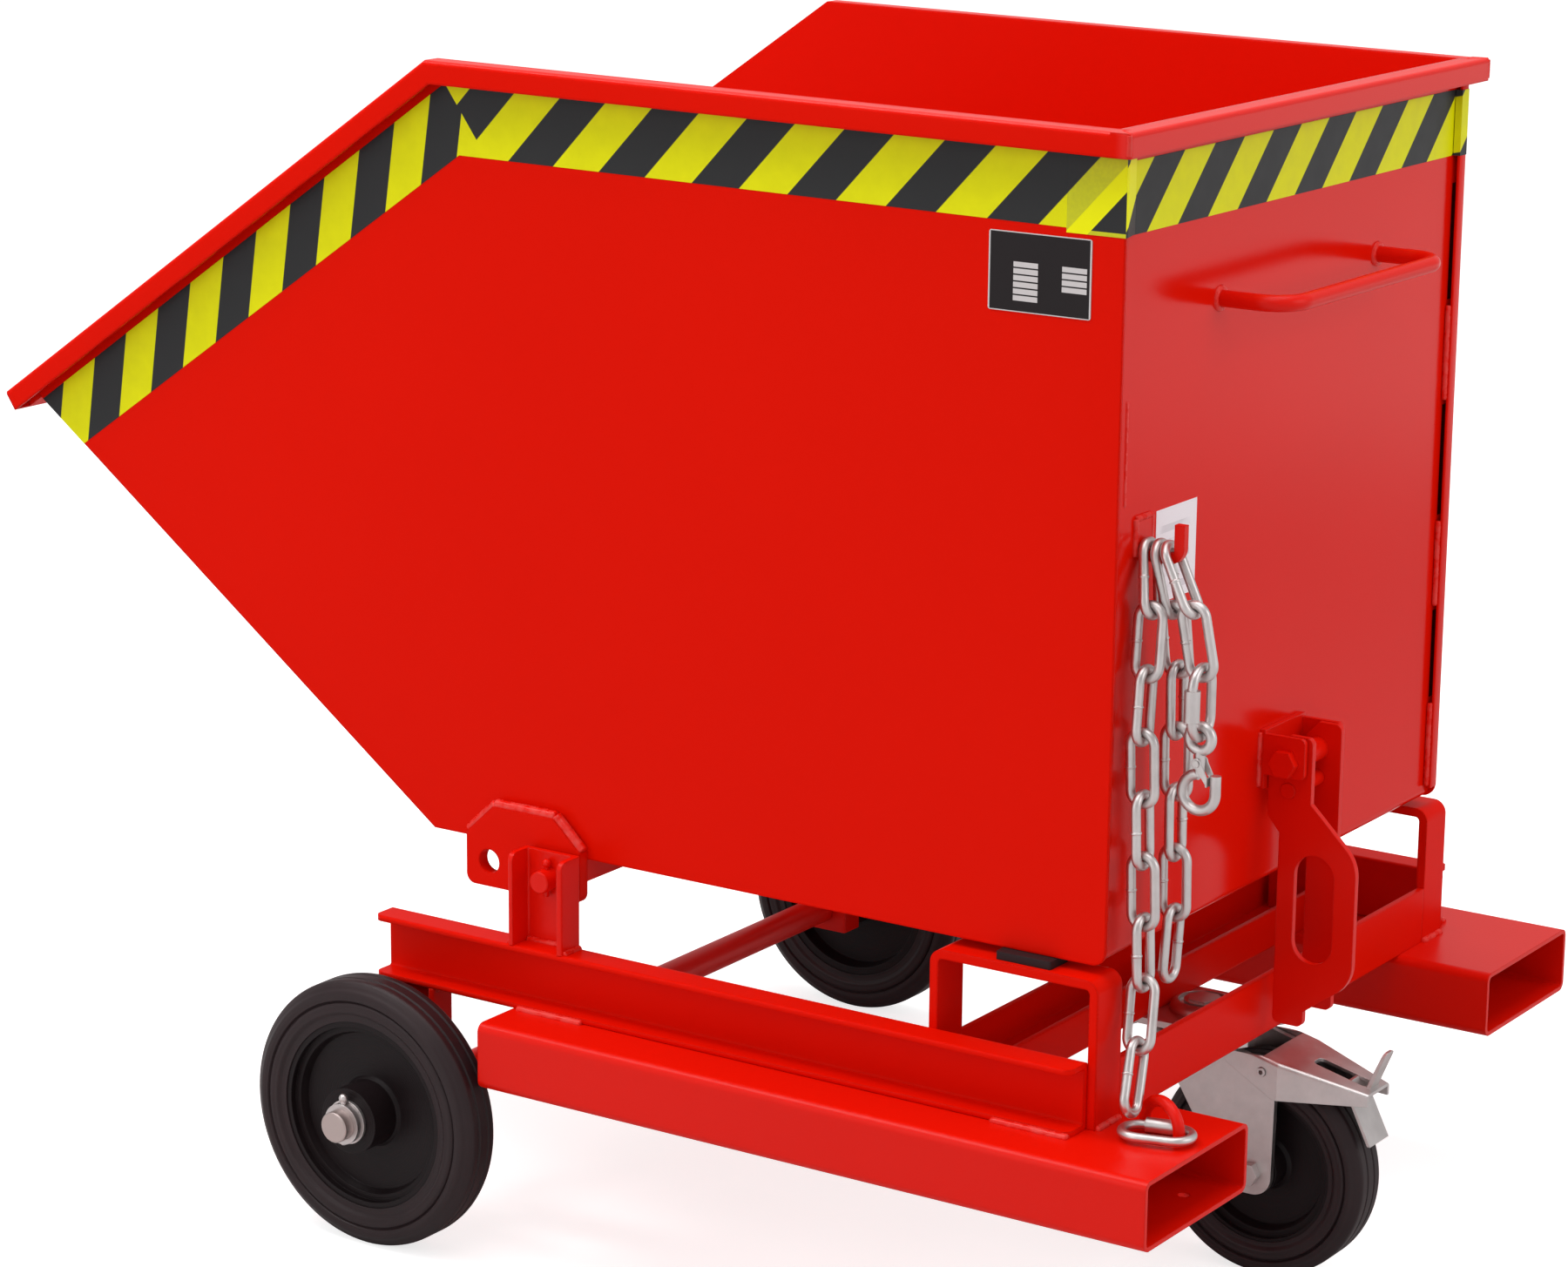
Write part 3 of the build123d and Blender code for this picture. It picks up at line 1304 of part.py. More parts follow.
SINGLES = {
    "support_pads": both(support_pad()),
    "rear_angle": rear_angle(),
    "cross_channel": cross_channel(),
    "hinge_pins": both(hinge_pin()),
    "hinge_washers": both(hinge_washer()),
    "hinge_cotters": both(hinge_cotter()),
    "front_axle": front_axle(),
    "axle_washers": both(axle_washer()),
    "axle_collars": both(axle_collar()),
    "axle_cotters": both(axle_cotter()),
    "chain_eye": chain_eye(),
    "eye_quick_link": eye_quick_link(),
    "castor_plate": castor_plate(),
    "castor_bolts": castor_bolts(),
    "castor_race": castor_race(),
    "castor_fork": castor_fork(),
    "castor_axle": castor_axle(),
    "castor_wheel": castor_wheel_centre(),
    "castor_tyre": castor_tyre(),
    "brake_pedal": brake_pedal(),
    "trough": trough(),
    "rim": rim(),
    "stiffener": stiffener(),
    "push_handle": push_handle(),
    "chain_hook": chain_hook(),
    "chain_tail": chain_tail(),
    "chain_loop": chain_loop(),
    "chain_end": chain_end(),
    "end_quick_link": end_quick_link(),
    "safety_hook": safety_hook(),
    "hook_latch": hook_latch(),
    "lock_bracket": lock_bracket(),
    "lock_bolt": lock_bolt(),
    "lever_grip_plate": lever_grip_plate(),
    "lever_plain_plate": lever_plain_plate(),
    "lever_spacer": lever_spacer(),
    "lever_pin": lever_pin(),
    "rear_tape": rear_tape(),
    "type_plate": type_plate(),
    "paper_label": paper_label(),
}

nodes = dict(SINGLES)
for name, shape in PAIRS.items():
    nodes[name + "_left"] = shape
    nodes[name + "_right"] = other_side(shape)

for name, shape in nodes.items():
    export_step(Pos(-ORIGIN_X, 0, 0) * shape, "parts/" + name + ".step")

print(len(nodes), "nodes, origin moved by", ORIGIN_X)
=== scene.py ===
# %% [markdown]
# # A red tipping box trolley
# The real object is a welded steel skip on a frame with fork pockets. Two black wheels carry the front
# and a braked castor carries the rear. The metal shapes come ready from the CAD model, so this lesson
# gives them paint, zinc, rubber and tape, and adds the weld seams and small parts that a plain model
# lacks. Everything is in metres: X points to the tipping lip, Y to the left side, Z up.

# %% Load the CAD model
import math

import bpy
import numpy as np
from mathutils import Matrix, Vector


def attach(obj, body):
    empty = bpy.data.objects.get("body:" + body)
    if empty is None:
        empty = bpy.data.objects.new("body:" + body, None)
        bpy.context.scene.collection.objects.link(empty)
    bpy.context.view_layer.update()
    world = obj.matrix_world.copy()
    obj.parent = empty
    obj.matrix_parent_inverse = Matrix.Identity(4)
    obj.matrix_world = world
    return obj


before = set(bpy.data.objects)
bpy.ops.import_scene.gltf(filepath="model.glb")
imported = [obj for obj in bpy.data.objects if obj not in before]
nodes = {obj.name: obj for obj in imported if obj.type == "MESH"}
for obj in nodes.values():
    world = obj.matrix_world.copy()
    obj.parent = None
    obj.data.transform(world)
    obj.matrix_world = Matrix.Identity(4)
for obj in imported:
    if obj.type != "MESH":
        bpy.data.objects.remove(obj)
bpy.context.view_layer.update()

# %% [markdown]
# ## Camera
# The photograph was taken with a long lens, from behind the left rear corner and a little above the
# rim. A camera can be aimed by a constraint, but then a slight roll of the picture is hard to add. Here
# its three axes are worked out from two angles and the roll, which gives the same view every time.

# %% Camera
AZIMUTH = math.radians(123.535)
ELEVATION = math.radians(13.995)
ROLL = math.radians(0.577)
CAMERA_PLACE = (-2.18499, 3.26691, 1.48222)
PHOTO_WIDTH = 1800
PHOTO_HEIGHT = 1455
FOCAL_PIXELS = 5029.15
MIDDLE_PIXEL = (906.89, 725.41)
SENSOR_WIDTH = 36

flat = math.cos(ELEVATION)
back = Vector((flat * math.cos(AZIMUTH), flat * math.sin(AZIMUTH), math.sin(ELEVATION)))
level_right = Vector((0, 0, 1)).cross(back).normalized()
level_up = back.cross(level_right)
right = math.cos(ROLL) * level_right + math.sin(ROLL) * level_up
up = math.cos(ROLL) * level_up - math.sin(ROLL) * level_right

lens = bpy.data.cameras.new("photo_camera")
lens.sensor_fit = "HORIZONTAL"
lens.sensor_width = SENSOR_WIDTH
lens.lens = SENSOR_WIDTH * FOCAL_PIXELS / PHOTO_WIDTH
lens.shift_x = (PHOTO_WIDTH / 2 - MIDDLE_PIXEL[0]) / PHOTO_WIDTH
lens.shift_y = (MIDDLE_PIXEL[1] - PHOTO_HEIGHT / 2) / PHOTO_WIDTH
camera = bpy.data.objects.new("photo_camera", lens)
turn = Matrix((right, up, back)).transposed().to_4x4()
camera.matrix_world = Matrix.Translation(CAMERA_PLACE) @ turn
bpy.context.scene.collection.objects.link(camera)
bpy.context.scene.camera = camera
print("lens", round(lens.lens, 1), "mm, shift", round(lens.shift_x, 4), round(lens.shift_y, 4))

# %% [markdown]
# ## Shader sums
# A finish is a small network of nodes. Placing the nodes by hand is slow to read, so one class stands
# for a socket: adding or multiplying two of them adds the Math node that does it, and its node method
# adds any other node.

# %% Shader helper
class Shade:
    """A socket in a material. Sums of it add Math nodes."""

    def __init__(self, socket):
        self.socket = socket
        self.tree = socket.id_data

    def node(self, kind, settings, inputs, output=0):
        """Add a node: its settings first, then the values or links of its sockets."""
        made = self.tree.nodes.new(kind)
        for name, value in settings.items():
            setattr(made, name, value)
        for name, value in inputs.items():
            if isinstance(value, Shade):
                self.tree.links.new(value.socket, made.inputs[name])
            else:
                made.inputs[name].default_value = value
        return Shade(made.outputs[output])

    def math(self, operation, *values):
        return self.node("ShaderNodeMath", {"operation": operation}, dict(enumerate(values)))

    def __add__(self, other):
        return self.math("ADD", self, other)

    def __sub__(self, other):
        return self.math("SUBTRACT", self, other)

    def __rsub__(self, other):
        return self.math("SUBTRACT", other, self)

    def __mul__(self, other):
        return self.math("MULTIPLY", self, other)

    def __truediv__(self, other):
        return self.math("DIVIDE", self, other)

    __radd__ = __add__
    __rmul__ = __mul__


# %% [markdown]
# Most finishes need the same few patterns: a noise, a soft step from one value to another, a rectangle,
# a mix of two colours, and normals for rounded edges and fine relief. Each gets a short function.

# %% Patterns that most finishes share
def new_finish(name):
    """A new material, its main shader, and the coordinates of the piece that wears it."""
    finish = bpy.data.materials.new(name)
    finish.use_nodes = True
    shader = finish.node_tree.nodes["Principled BSDF"]
    start = Shade(shader.inputs["Base Color"])
    return finish, shader, start.node("ShaderNodeTexCoord", {}, {}, "Object")


def feed(shader, name, value):
    """Link what varies over the surface to a socket of the main shader."""
    value.tree.links.new(value.socket, shader.inputs[name])


def axes(place):
    """The X, Y and Z of a place."""
    first = place.node("ShaderNodeSeparateXYZ", {}, {"Vector": place})
    return [Shade(socket) for socket in first.socket.node.outputs]


def noise(place, scale, detail=2.0):
    """A random pattern from 0 to 1, with this many waves to the metre."""
    return place.node("ShaderNodeTexNoise", {}, {"Vector": place, "Scale": scale, "Detail": detail})


def soft_step(value, edge, width):
    """0 below the edge and 1 above it, with a soft change between."""
    ends = {"Value": value, "From Min": edge - width / 2, "From Max": edge + width / 2}
    return value.node("ShaderNodeMapRange", {"interpolation_type": "SMOOTHSTEP"}, ends)


def box_mask(u, v, u_span, v_span, soft):
    """1 inside a rectangle and 0 outside."""
    across = soft_step(u, u_span[0], soft) * (1 - soft_step(u, u_span[1], soft))
    return across * soft_step(v, v_span[0], soft) * (1 - soft_step(v, v_span[1], soft))


def mix(factor, first, second):
    """A colour between two colours."""
    return factor.node("ShaderNodeMix", {"data_type": "RGBA"}, {0: factor, 6: first, 7: second}, 2)


def rounded(place, radius):
    """Normals that make a sharp edge catch the light as a rounded one does."""
    return place.node("ShaderNodeBevel", {"samples": 4}, {"Radius": radius})


def bump(height, depth, normal):
    """Normals of a surface with this relief on it."""
    return height.node("ShaderNodeBump", {}, {"Height": height, "Distance": depth, "Normal": normal})


def dress(finish, *names):
    """Give CAD nodes a finish."""
    for name in names:
        nodes[name].data.materials.clear()
        nodes[name].data.materials.append(finish)
    print(finish.name, "on", len(names), "nodes")


# %% [markdown]
# ## Red paint
# Skip, frame, lever and handle are sprayed with one coat of semi-gloss red. Sprayed paint is never quite
# flat: it has a fine orange-peel skin, its gloss changes a little from place to place, and it rounds
# every edge. The skin is a fine noise as bump, the gloss a slow noise, and the edges come from a Bevel
# node. The big side sheets and the rear of the frame got a duller coat than the handled parts, so there
# are two finishes.

# %% Red paint
RED = (0.780, 0.0062, 0.0002, 1)
RED_THIN = (0.715, 0.0050, 0.0002, 1)
PEEL_DEPTH = 0.00006


def make_red_paint(name, shine, roughness, edge):
    """Red paint with the strength and the blur of its reflections and the radius of its edges."""
    finish, shader, place = new_finish(name)
    cloud = noise(place, scale=2.5)
    peel = noise(place, scale=380.0)
    feed(shader, "Base Color", mix(cloud, RED_THIN, RED))
    feed(shader, "Roughness", roughness + 0.10 * cloud)
    feed(shader, "Normal", bump(peel, PEEL_DEPTH, rounded(place, edge)))
    shader.inputs["Specular IOR Level"].default_value = shine
    return finish


def paint_of(finish):
    """The main shader of a paint, and the colour that feeds it."""
    shader = finish.node_tree.nodes["Principled BSDF"]
    return shader, Shade(shader.inputs["Base Color"].links[0].from_socket)


red_paint = make_red_paint("red_paint_coat", shine=0.18, roughness=0.28, edge=0.0014)
dull_red = make_red_paint("red_paint_sheet", shine=0.04, roughness=0.30, edge=0.0030)
for pair in ("skip_wall", "lug", "rail", "support"):
    dress(dull_red, pair + "_left", pair + "_right")
dress(dull_red, "rear_angle", "cross_channel")
for pair in ("pocket", "hinge_post", "axle_bracket"):
    dress(red_paint, pair + "_left", pair + "_right")
dress(red_paint, "hinge_pins", "chain_eye", "stiffener")
dress(red_paint, "push_handle", "chain_hook", "lock_bracket", "lever_grip_plate", "lever_plain_plate")
dress(red_paint, "lever_spacer", "lever_pin", "lock_bolt", "hinge_washers", "hinge_cotters")

# %% [markdown]
# ## Rim
# The rim is one folded edge, but it doesn't shine alike all round. Along the sides it is as dull as the
# side sheets, and its top and its rear are glossy. A clear coat over the dull paint does that, with a
# mask from the way a face looks and from its place.

# %% Rim paint
RIM_REAR_X = -0.535
RIM_COAT = 0.42


def make_rim_paint():
    finish = make_red_paint("red_paint_rim", shine=0.04, roughness=0.30, edge=0.0040)
    shader, painted = paint_of(finish)
    x = axes(painted.node("ShaderNodeTexCoord", {}, {}, "Object"))[0]
    facing_up = axes(painted.node("ShaderNodeTexCoord", {}, {}, "Normal"))[2]
    rear = 1 - soft_step(x, RIM_REAR_X, 0.010)
    glossy = rear.math("MAXIMUM", rear, soft_step(facing_up, 0.6, 0.3))
    feed(shader, "Coat Weight", RIM_COAT * glossy)
    shader.inputs["Coat Roughness"].default_value = 0.25
    return finish


dress(make_rim_paint(), "rim")

# %% [markdown]
# ## Open seams of the rear wall
# The right side sheet is bent over the rear wall and only stitch welded to it. Between the stitches the
# bent edge stands a little off the wall, and the gap falls into shade as a thin dark line. The wall has the
# same red as the rest, with painted shade: dark stripes painted where the gaps are.

# %% Rear wall paint
SEAM_Y = (-0.3040, -0.2962)
OPEN_SEAMS = ((0.827, 0.932), (0.629, 0.731), (0.458, 0.540))
SEAM_SHADE_DARK = (0.030, 0.001, 0.001, 1)
OUTER_SKIN_X = -0.5260


def make_wall_paint():
    finish = make_red_paint("red_paint_wall", shine=0.12, roughness=0.12, edge=0.0014)
    shader, painted = paint_of(finish)
    x, y, z = axes(painted.node("ShaderNodeTexCoord", {}, {}, "Object"))
    gap_shade = 0.0
    for span in OPEN_SEAMS:
        gap_shade = gap_shade + box_mask(y, z, SEAM_Y, span, 0.0006)
    outside = 1 - soft_step(x, OUTER_SKIN_X, 0.0004)
    # painted shade: the wall is painted dark inside the open seams, where shade falls
    feed(shader, "Base Color", mix(gap_shade * outside, painted, SEAM_SHADE_DARK))
    return finish


dress(make_wall_paint(), "trough")

# %% [markdown]
# ## Zinc
# Chain, castor fork, pedal, bolts and washers are zinc plated. Plating is bright but not a mirror: it has
# a fine grain and cloudy patches from the bath. Metal takes its colour from Base Color, so the patches
# go there and into Roughness, and the grain goes into the bump.

# %% Zinc
ZINC_LIGHT = (0.76, 0.71, 0.70, 1)
ZINC_DULL = (0.50, 0.455, 0.45, 1)


def make_zinc():
    finish, shader, place = new_finish("zinc_plating")
    cloud = noise(place, scale=55.0, detail=3.0)
    grain = noise(place, scale=900.0)
    feed(shader, "Base Color", mix(cloud, ZINC_DULL, ZINC_LIGHT))
    feed(shader, "Roughness", 0.28 + 0.20 * cloud)
    feed(shader, "Normal", bump(grain, 0.00004, rounded(place, 0.0007)))
    shader.inputs["Metallic"].default_value = 1.0
    return finish


zinc = make_zinc()
dress(zinc, "chain_tail", "chain_loop", "chain_end", "end_quick_link", "eye_quick_link")
dress(zinc, "safety_hook", "hook_latch", "axle_washers", "axle_collars", "axle_cotters")
dress(zinc, "castor_plate", "castor_bolts", "castor_race", "castor_fork", "castor_axle", "brake_pedal")

# %% [markdown]
# ## Axle
# The through axle was painted with the frame before the wheels went on. Between the brackets it is red
# and outside them it is bare turned steel with fine rings round it. One finish does both, and its mask
# is the distance from the middle of the trolley.

# %% Axle
BRACKET_FACE_Y = 0.352
STEEL = (0.52, 0.43, 0.41, 1)


def make_axle_finish():
    finish, shader, place = new_finish("axle_part_painted")
    y = axes(place)[1]
    bare = soft_step(y.math("ABSOLUTE", y), BRACKET_FACE_Y, 0.004)
    rings = noise(place.node("ShaderNodeCombineXYZ", {}, {"Y": y}), scale=700.0)
    feed(shader, "Base Color", mix(bare, RED, STEEL))
    feed(shader, "Metallic", bare * 0.9)
    feed(shader, "Roughness", 0.34 + 0.10 * rings)
    feed(shader, "Normal", bump(rings, 0.00005, rounded(place, 0.0008)))
    shader.inputs["Specular IOR Level"].default_value = 0.30
    return finish


dress(make_axle_finish(), "front_axle")

# %% [markdown]
# ## Wheels
# The tyres are black solid rubber and the centres are black moulded plastic. Rubber is matt and slightly
# brown where it is dusty, and moulding leaves fine rings round the hub. The rings follow the distance
# from the wheel's own axle, so each axle has its own finish.

# %% Black rubber and plastic
FRONT_AXLE = (0.15325, 0.1225)
CASTOR_AXLE = (-0.53175, 0.100)
RUBBER = {"dark": (0.014, 0.006, 0.007, 1), "light": (0.027, 0.013, 0.015, 1)}
MOULDED = {"dark": (0.007, 0.004, 0.0045, 1), "light": (0.014, 0.008, 0.009, 1)}
TYRE_LOOK = {"gloss": 0.38, "shine": 0.30, "ring_pitch": 0.0045, "ring_depth": 0.5}
CENTRE_LOOK = {"gloss": 0.34, "shine": 0.18, "ring_pitch": 0.0022, "ring_depth": 0.3}
PAD_LOOK = {"gloss": 0.55, "shine": 0.25, "ring_pitch": 0.0060, "ring_depth": 0.0}


def from_axle(place, axle):
    """The distance from a wheel's axle."""
    x, _, z = axes(place)
    dx = x - axle[0]
    dz = z - axle[1]
    squares = dx * dx + dz * dz
    return squares.math("SQRT", squares)


def make_black(name, axle, dark, light, gloss, shine, ring_pitch, ring_depth):
    """Black rubber or plastic with dust on it and rings round its axle."""
    finish, shader, place = new_finish(name)
    dust = noise(place, scale=35.0, detail=4.0)
    grain = noise(place, scale=1400.0)
    rings = from_axle(place, axle) * (2 * math.pi / ring_pitch)
    relief = grain * 0.4 + rings.math("SINE", rings) * ring_depth
    feed(shader, "Base Color", mix(dust, dark, light))
    feed(shader, "Roughness", gloss + 0.18 * dust)
    feed(shader, "Normal", bump(relief, 0.00012, rounded(place, 0.0012)))
    shader.inputs["Specular IOR Level"].default_value = shine
    return finish


dress(make_black("front_tyre_rubber", FRONT_AXLE, **RUBBER, **TYRE_LOOK), "tyre_left", "tyre_right")
dress(make_black("front_wheel_moulding", FRONT_AXLE, **MOULDED, **CENTRE_LOOK), "wheel_left", "wheel_right")
dress(make_black("castor_tyre_rubber", CASTOR_AXLE, **RUBBER, **TYRE_LOOK), "castor_tyre")
dress(make_black("castor_wheel_moulding", CASTOR_AXLE, **MOULDED, **CENTRE_LOOK), "castor_wheel")
dress(make_black("pad_rubber_black", CASTOR_AXLE, **RUBBER, **PAD_LOOK), "support_pads")

# %% [markdown]
# ## Warning tape
# A strip of yellow and black film runs below the rim. Its stripes lean about 45 degrees, and along the
# slope the strip is turned with the rim, with an oblique cut where the two lengths overlap. The stripes
# are a sum of the two directions along and across the strip, cut to its fraction, so they stay sharp at
# any size.

# %% Warning tape
YELLOW = (0.84, 0.82, 0.0, 1)
YELLOW_DEEP = (0.72, 0.70, 0.0, 1)
BLACK = (0.026, 0.026, 0.027, 1)
BLACK_MIDDLE = 0.75
BLACK_HALF = 0.25
STRIPE_SOFT = 0.014
STRAIGHT = {"lean": 0.946, "first": 0.06805, "pitch": 0.0961}
STRAIGHT_Z = 0.968
SLOPING = {"lean": 0.91, "first": 0.5250, "pitch": 0.0953}
SLOPE_DROP = 0.050
REAR = {"lean": 1.01, "first": 0.2117, "pitch": 0.1007}
REAR_Z = 0.958
KINK = (0.14625, 1.042)
SLOPE = (0.82845, -0.56006)
OVERLAP_CUT = (0.13575, 1.0277)
CUT_NORMAL = (0.8055, -0.5926)


def stripe_phase(along, across, lean, first, pitch):
    """How many stripes a place is from the first one, where stripes lean across the strip."""
    return (along + lean * across - first) / pitch


def dark_stripe(phase):
    """1 in the black half of each stripe."""
    part = phase.math("FRACT", phase)
    away = part - BLACK_MIDDLE
    return 1 - soft_step(away.math("ABSOLUTE", away), BLACK_HALF, STRIPE_SOFT)


def make_tape(name, pattern):
    """Film with a pattern of black on yellow."""
    finish, shader, place = new_finish(name)
    film = noise(place, scale=60.0, detail=3.0)
    beads = noise(place, scale=1500.0)
    yellow = mix(film, YELLOW_DEEP, YELLOW)
    feed(shader, "Base Color", mix(pattern(place), yellow, BLACK))
    feed(shader, "Roughness", 0.36 + 0.14 * film)
    feed(shader, "Normal", bump(beads, 0.00003, rounded(place, 0.0003)))
    shader.inputs["Specular IOR Level"].default_value = 0.15
    return finish


def straight_phase(x, z):
    """The phase on the straight part of the side tape."""
    return stripe_phase(x, z - STRAIGHT_Z, **STRAIGHT)


def side_stripes(place):
    x, _, z = axes(place)
    straight = dark_stripe(straight_phase(x, z))
    dx = x - KINK[0]
    dz = z - KINK[1]
    along = SLOPE[0] * dx + SLOPE[1] * dz
    across = -SLOPE[1] * dx + SLOPE[0] * dz
    slope = dark_stripe(stripe_phase(along, across + SLOPE_DROP, **SLOPING))
    past_cut = CUT_NORMAL[0] * (x - OVERLAP_CUT[0]) + CUT_NORMAL[1] * (z - OVERLAP_CUT[1])
    on_slope = soft_step(past_cut, 0.0, 0.0004)
    return straight * (1 - on_slope) + slope * on_slope


def rear_stripes(place):
    _, y, z = axes(place)
    return dark_stripe(stripe_phase(y, z - REAR_Z, **REAR))


dress(make_tape("side_tape_film", side_stripes), "side_tape_left", "side_tape_right")
dress(make_tape("rear_tape_film", rear_stripes), "rear_tape")

# %% [markdown]
# ## Type plate and label
# The type plate is a black foil with a silver edge and empty silver fields, and the label by the hook is
# plain paper with faint rules. Both are rectangles in the plane of their wall, so a mask for each field
# is enough, and nothing is written in them.

# %% Type plate and label
PLATE_MIDDLE = (-0.45675, 0.922)
PLATE_BLACK = (0.016, 0.012, 0.013, 1)
SILVER = (0.62, 0.58, 0.58, 1)
PLATE_INSIDE = ((-0.0456, 0.0456), (-0.0312, 0.0312))
FIELD_COLUMNS = ((6, (-0.0240, -0.0015)), (4, (0.0205, 0.0430)))
FIELD_FIRST = 0.0041
FIELD_PITCH = 0.0054
FIELD_HEIGHT = 0.0042
PAPER = (0.95, 0.86, 0.90, 1)
PAPER_LINE = (0.45, 0.40, 0.44, 1)
RULES_Y = (0.176, 0.227)
RULES_Z = (0.654, 0.718)
RULES_MIDDLE = 0.6875
RULE_PITCH = 0.0125


def make_type_plate():
    finish, shader, place = new_finish("type_plate_foil")
    x, _, z = axes(place)
    u = PLATE_MIDDLE[0] - x
    v = z - PLATE_MIDDLE[1]
    shine = 1 - box_mask(u, v, *PLATE_INSIDE, 0.0004)
    for rows, column in FIELD_COLUMNS:
        for row in range(rows):
            low = FIELD_FIRST - FIELD_PITCH * row
            shine = shine + box_mask(u, v, column, (low, low + FIELD_HEIGHT), 0.0003)
    feed(shader, "Base Color", mix(shine, PLATE_BLACK, SILVER))
    feed(shader, "Roughness", 0.30 + 0.15 * noise(place, scale=90.0))
    feed(shader, "Normal", bump(shine, 0.00004, rounded(place, 0.0003)))
    shader.inputs["Specular IOR Level"].default_value = 0.14
    return finish


def make_paper():
    finish, shader, place = new_finish("label_paper")
    _, y, z = axes(place)
    fibre = noise(place, scale=700.0, detail=4.0)
    rules = dark_stripe((z - RULES_MIDDLE) / RULE_PITCH) * box_mask(y, z, RULES_Y, RULES_Z, 0.0004)
    faint = rules * soft_step(noise(place, scale=30.0), 0.5, 0.2) * 0.35
    feed(shader, "Base Color", mix(faint + 0.08 * fibre, PAPER, PAPER_LINE))
    feed(shader, "Roughness", 0.60 + 0.15 * fibre)
    feed(shader, "Normal", bump(fibre, 0.00003, rounded(place, 0.0002)))
    return finish


dress(make_type_plate(), "type_plate")
dress(make_paper(), "paper_label")

# %% [markdown]
# ## Weld beads
# The members of the frame and the fittings of the skip are held by fillet welds, painted over with the
# rest. The weld paint is paler pink in patches, a painted highlight for the light its ripples catch.

# %% Weld paint
WELD_HIGHLIGHT_PINK = (0.80, 0.055, 0.045, 1)


def make_weld_paint():
    finish, shader, place = new_finish("red_paint_weld")
    highlight_patches = soft_step(noise(place, scale=120.0), 0.50, 0.40)
    # painted highlight: paler pink patches stand in for light caught by the weld ripples
    feed(shader, "Base Color", mix(highlight_patches, RED, WELD_HIGHLIGHT_PINK))
    feed(shader, "Roughness", 0.24 + 0.12 * highlight_patches)
    feed(shader, "Normal", bump(noise(place, scale=300.0), 0.00008, rounded(place, 0.0005)))
    shader.inputs["Specular IOR Level"].default_value = 0.25
    return finish


weld_paint = make_weld_paint()
print("finish:", weld_paint.name)

# %% [markdown]
# A welder lays a bead ripple by ripple, and it is modelled the same way: a small disc is extruded in
# short steps and widened and narrowed in turn. One bead is modelled and copied to every seam later.

# %% One bead
BEAD_RIPPLES = 20
BEAD_PITCH = 0.003
BEAD_R = 0.0035
BEAD_SIDES = 10
BEAD_SWELL = 1.16
BEAD_TIP = 0.6


def model_bead():
    """A straight bead along X from the origin."""
    bpy.ops.object.select_all(action="DESELECT")
    bpy.ops.mesh.primitive_circle_add(
        vertices=BEAD_SIDES,
        radius=BEAD_TIP * BEAD_R,
        fill_type="NGON",
        rotation=(0, math.pi / 2, 0),
    )
    bead = bpy.context.object
    bpy.ops.object.transform_apply(location=True, rotation=True, scale=True)
    bpy.ops.object.mode_set(mode="EDIT")
    bpy.ops.mesh.select_all(action="SELECT")
    step = {"value": (BEAD_PITCH / 2, 0, 0)}
    wider = 1 / BEAD_TIP
    for _ in range(BEAD_RIPPLES):
        bpy.ops.mesh.extrude_region_move(TRANSFORM_OT_translate=step)
        bpy.ops.transform.resize(value=(1, wider, wider))
        bpy.ops.mesh.extrude_region_move(TRANSFORM_OT_translate=step)
        bpy.ops.transform.resize(value=(1, 1 / BEAD_SWELL, 1 / BEAD_SWELL))
        wider = BEAD_SWELL
    bpy.ops.mesh.select_all(action="SELECT")
    bpy.ops.mesh.normals_make_consistent(inside=False)
    bpy.ops.object.mode_set(mode="OBJECT")
    bpy.ops.object.shade_smooth()
    return bead


bead_master = model_bead()
bead_master.name = "bead_master"
print("bead:", len(bead_master.data.polygons), "faces")

# %% [markdown]
# A copy of the bead is stretched to its seam and roughened with a seed of its own, because no two hand
# welds are alike. The beads of one group are joined into one piece, which gets its paint and is tied to
# the body that it rides on.

# %% Lay and gather beads
BEAD_ROUGH = 0.06


def pick(*objects):
    """Select these objects alone, the last one active."""
    bpy.ops.object.select_all(action="DESELECT")
    for thing in objects:
        thing.select_set(True)
    bpy.context.view_layer.objects.active = objects[-1]


def roughen(offset, seed):
    """Move the points of the active object a little at random."""
    bpy.ops.object.mode_set(mode="EDIT")
    bpy.ops.mesh.select_all(action="SELECT")
    bpy.ops.transform.vertex_random(offset=offset, seed=seed)
    bpy.ops.object.mode_set(mode="OBJECT")


def join(pieces):
    """One object from several."""
    pick(*pieces)
    if len(pieces) > 1:
        bpy.ops.object.join()
    return bpy.context.object


def hand_over(piece, name, finish, body):
    """Name a finished piece, give it its finish, and tie it to its body."""
    piece.name = name
    piece.data.name = name
    piece.data.materials.clear()
    piece.data.materials.append(finish)
    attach(piece, body)
    print(name, len(piece.data.polygons), "faces")


def lay_bead(start, end, radius, seed):
    """A copy of the bead between two points."""
    pick(bead_master)
    bpy.ops.object.duplicate()
    bead = bpy.context.object
    run = Vector(end) - Vector(start)
    bead.location = start
    bead.rotation_euler = run.to_track_quat("X", "Z").to_euler()
    bead.scale = (run.length / (BEAD_RIPPLES * BEAD_PITCH), radius / BEAD_R, radius / BEAD_R)
    bpy.ops.object.transform_apply(location=True, rotation=True, scale=True)
    roughen(BEAD_ROUGH * radius, seed)
    return bead


def weld_group(name, body, seams):
    """All beads of a group as one painted piece."""
    beads = [lay_bead(*seam, seed) for seed, seam in enumerate(seams)]
    hand_over(join(beads), name, weld_paint, body)


# %% [markdown]
# The frame's seams are the same on both sides. The rail's lower flange is stitched to the pocket at both
# ends, and the hinge post, the axle bracket and the rear support are welded round their feet. A seam is
# a start, an end and the bead's radius.

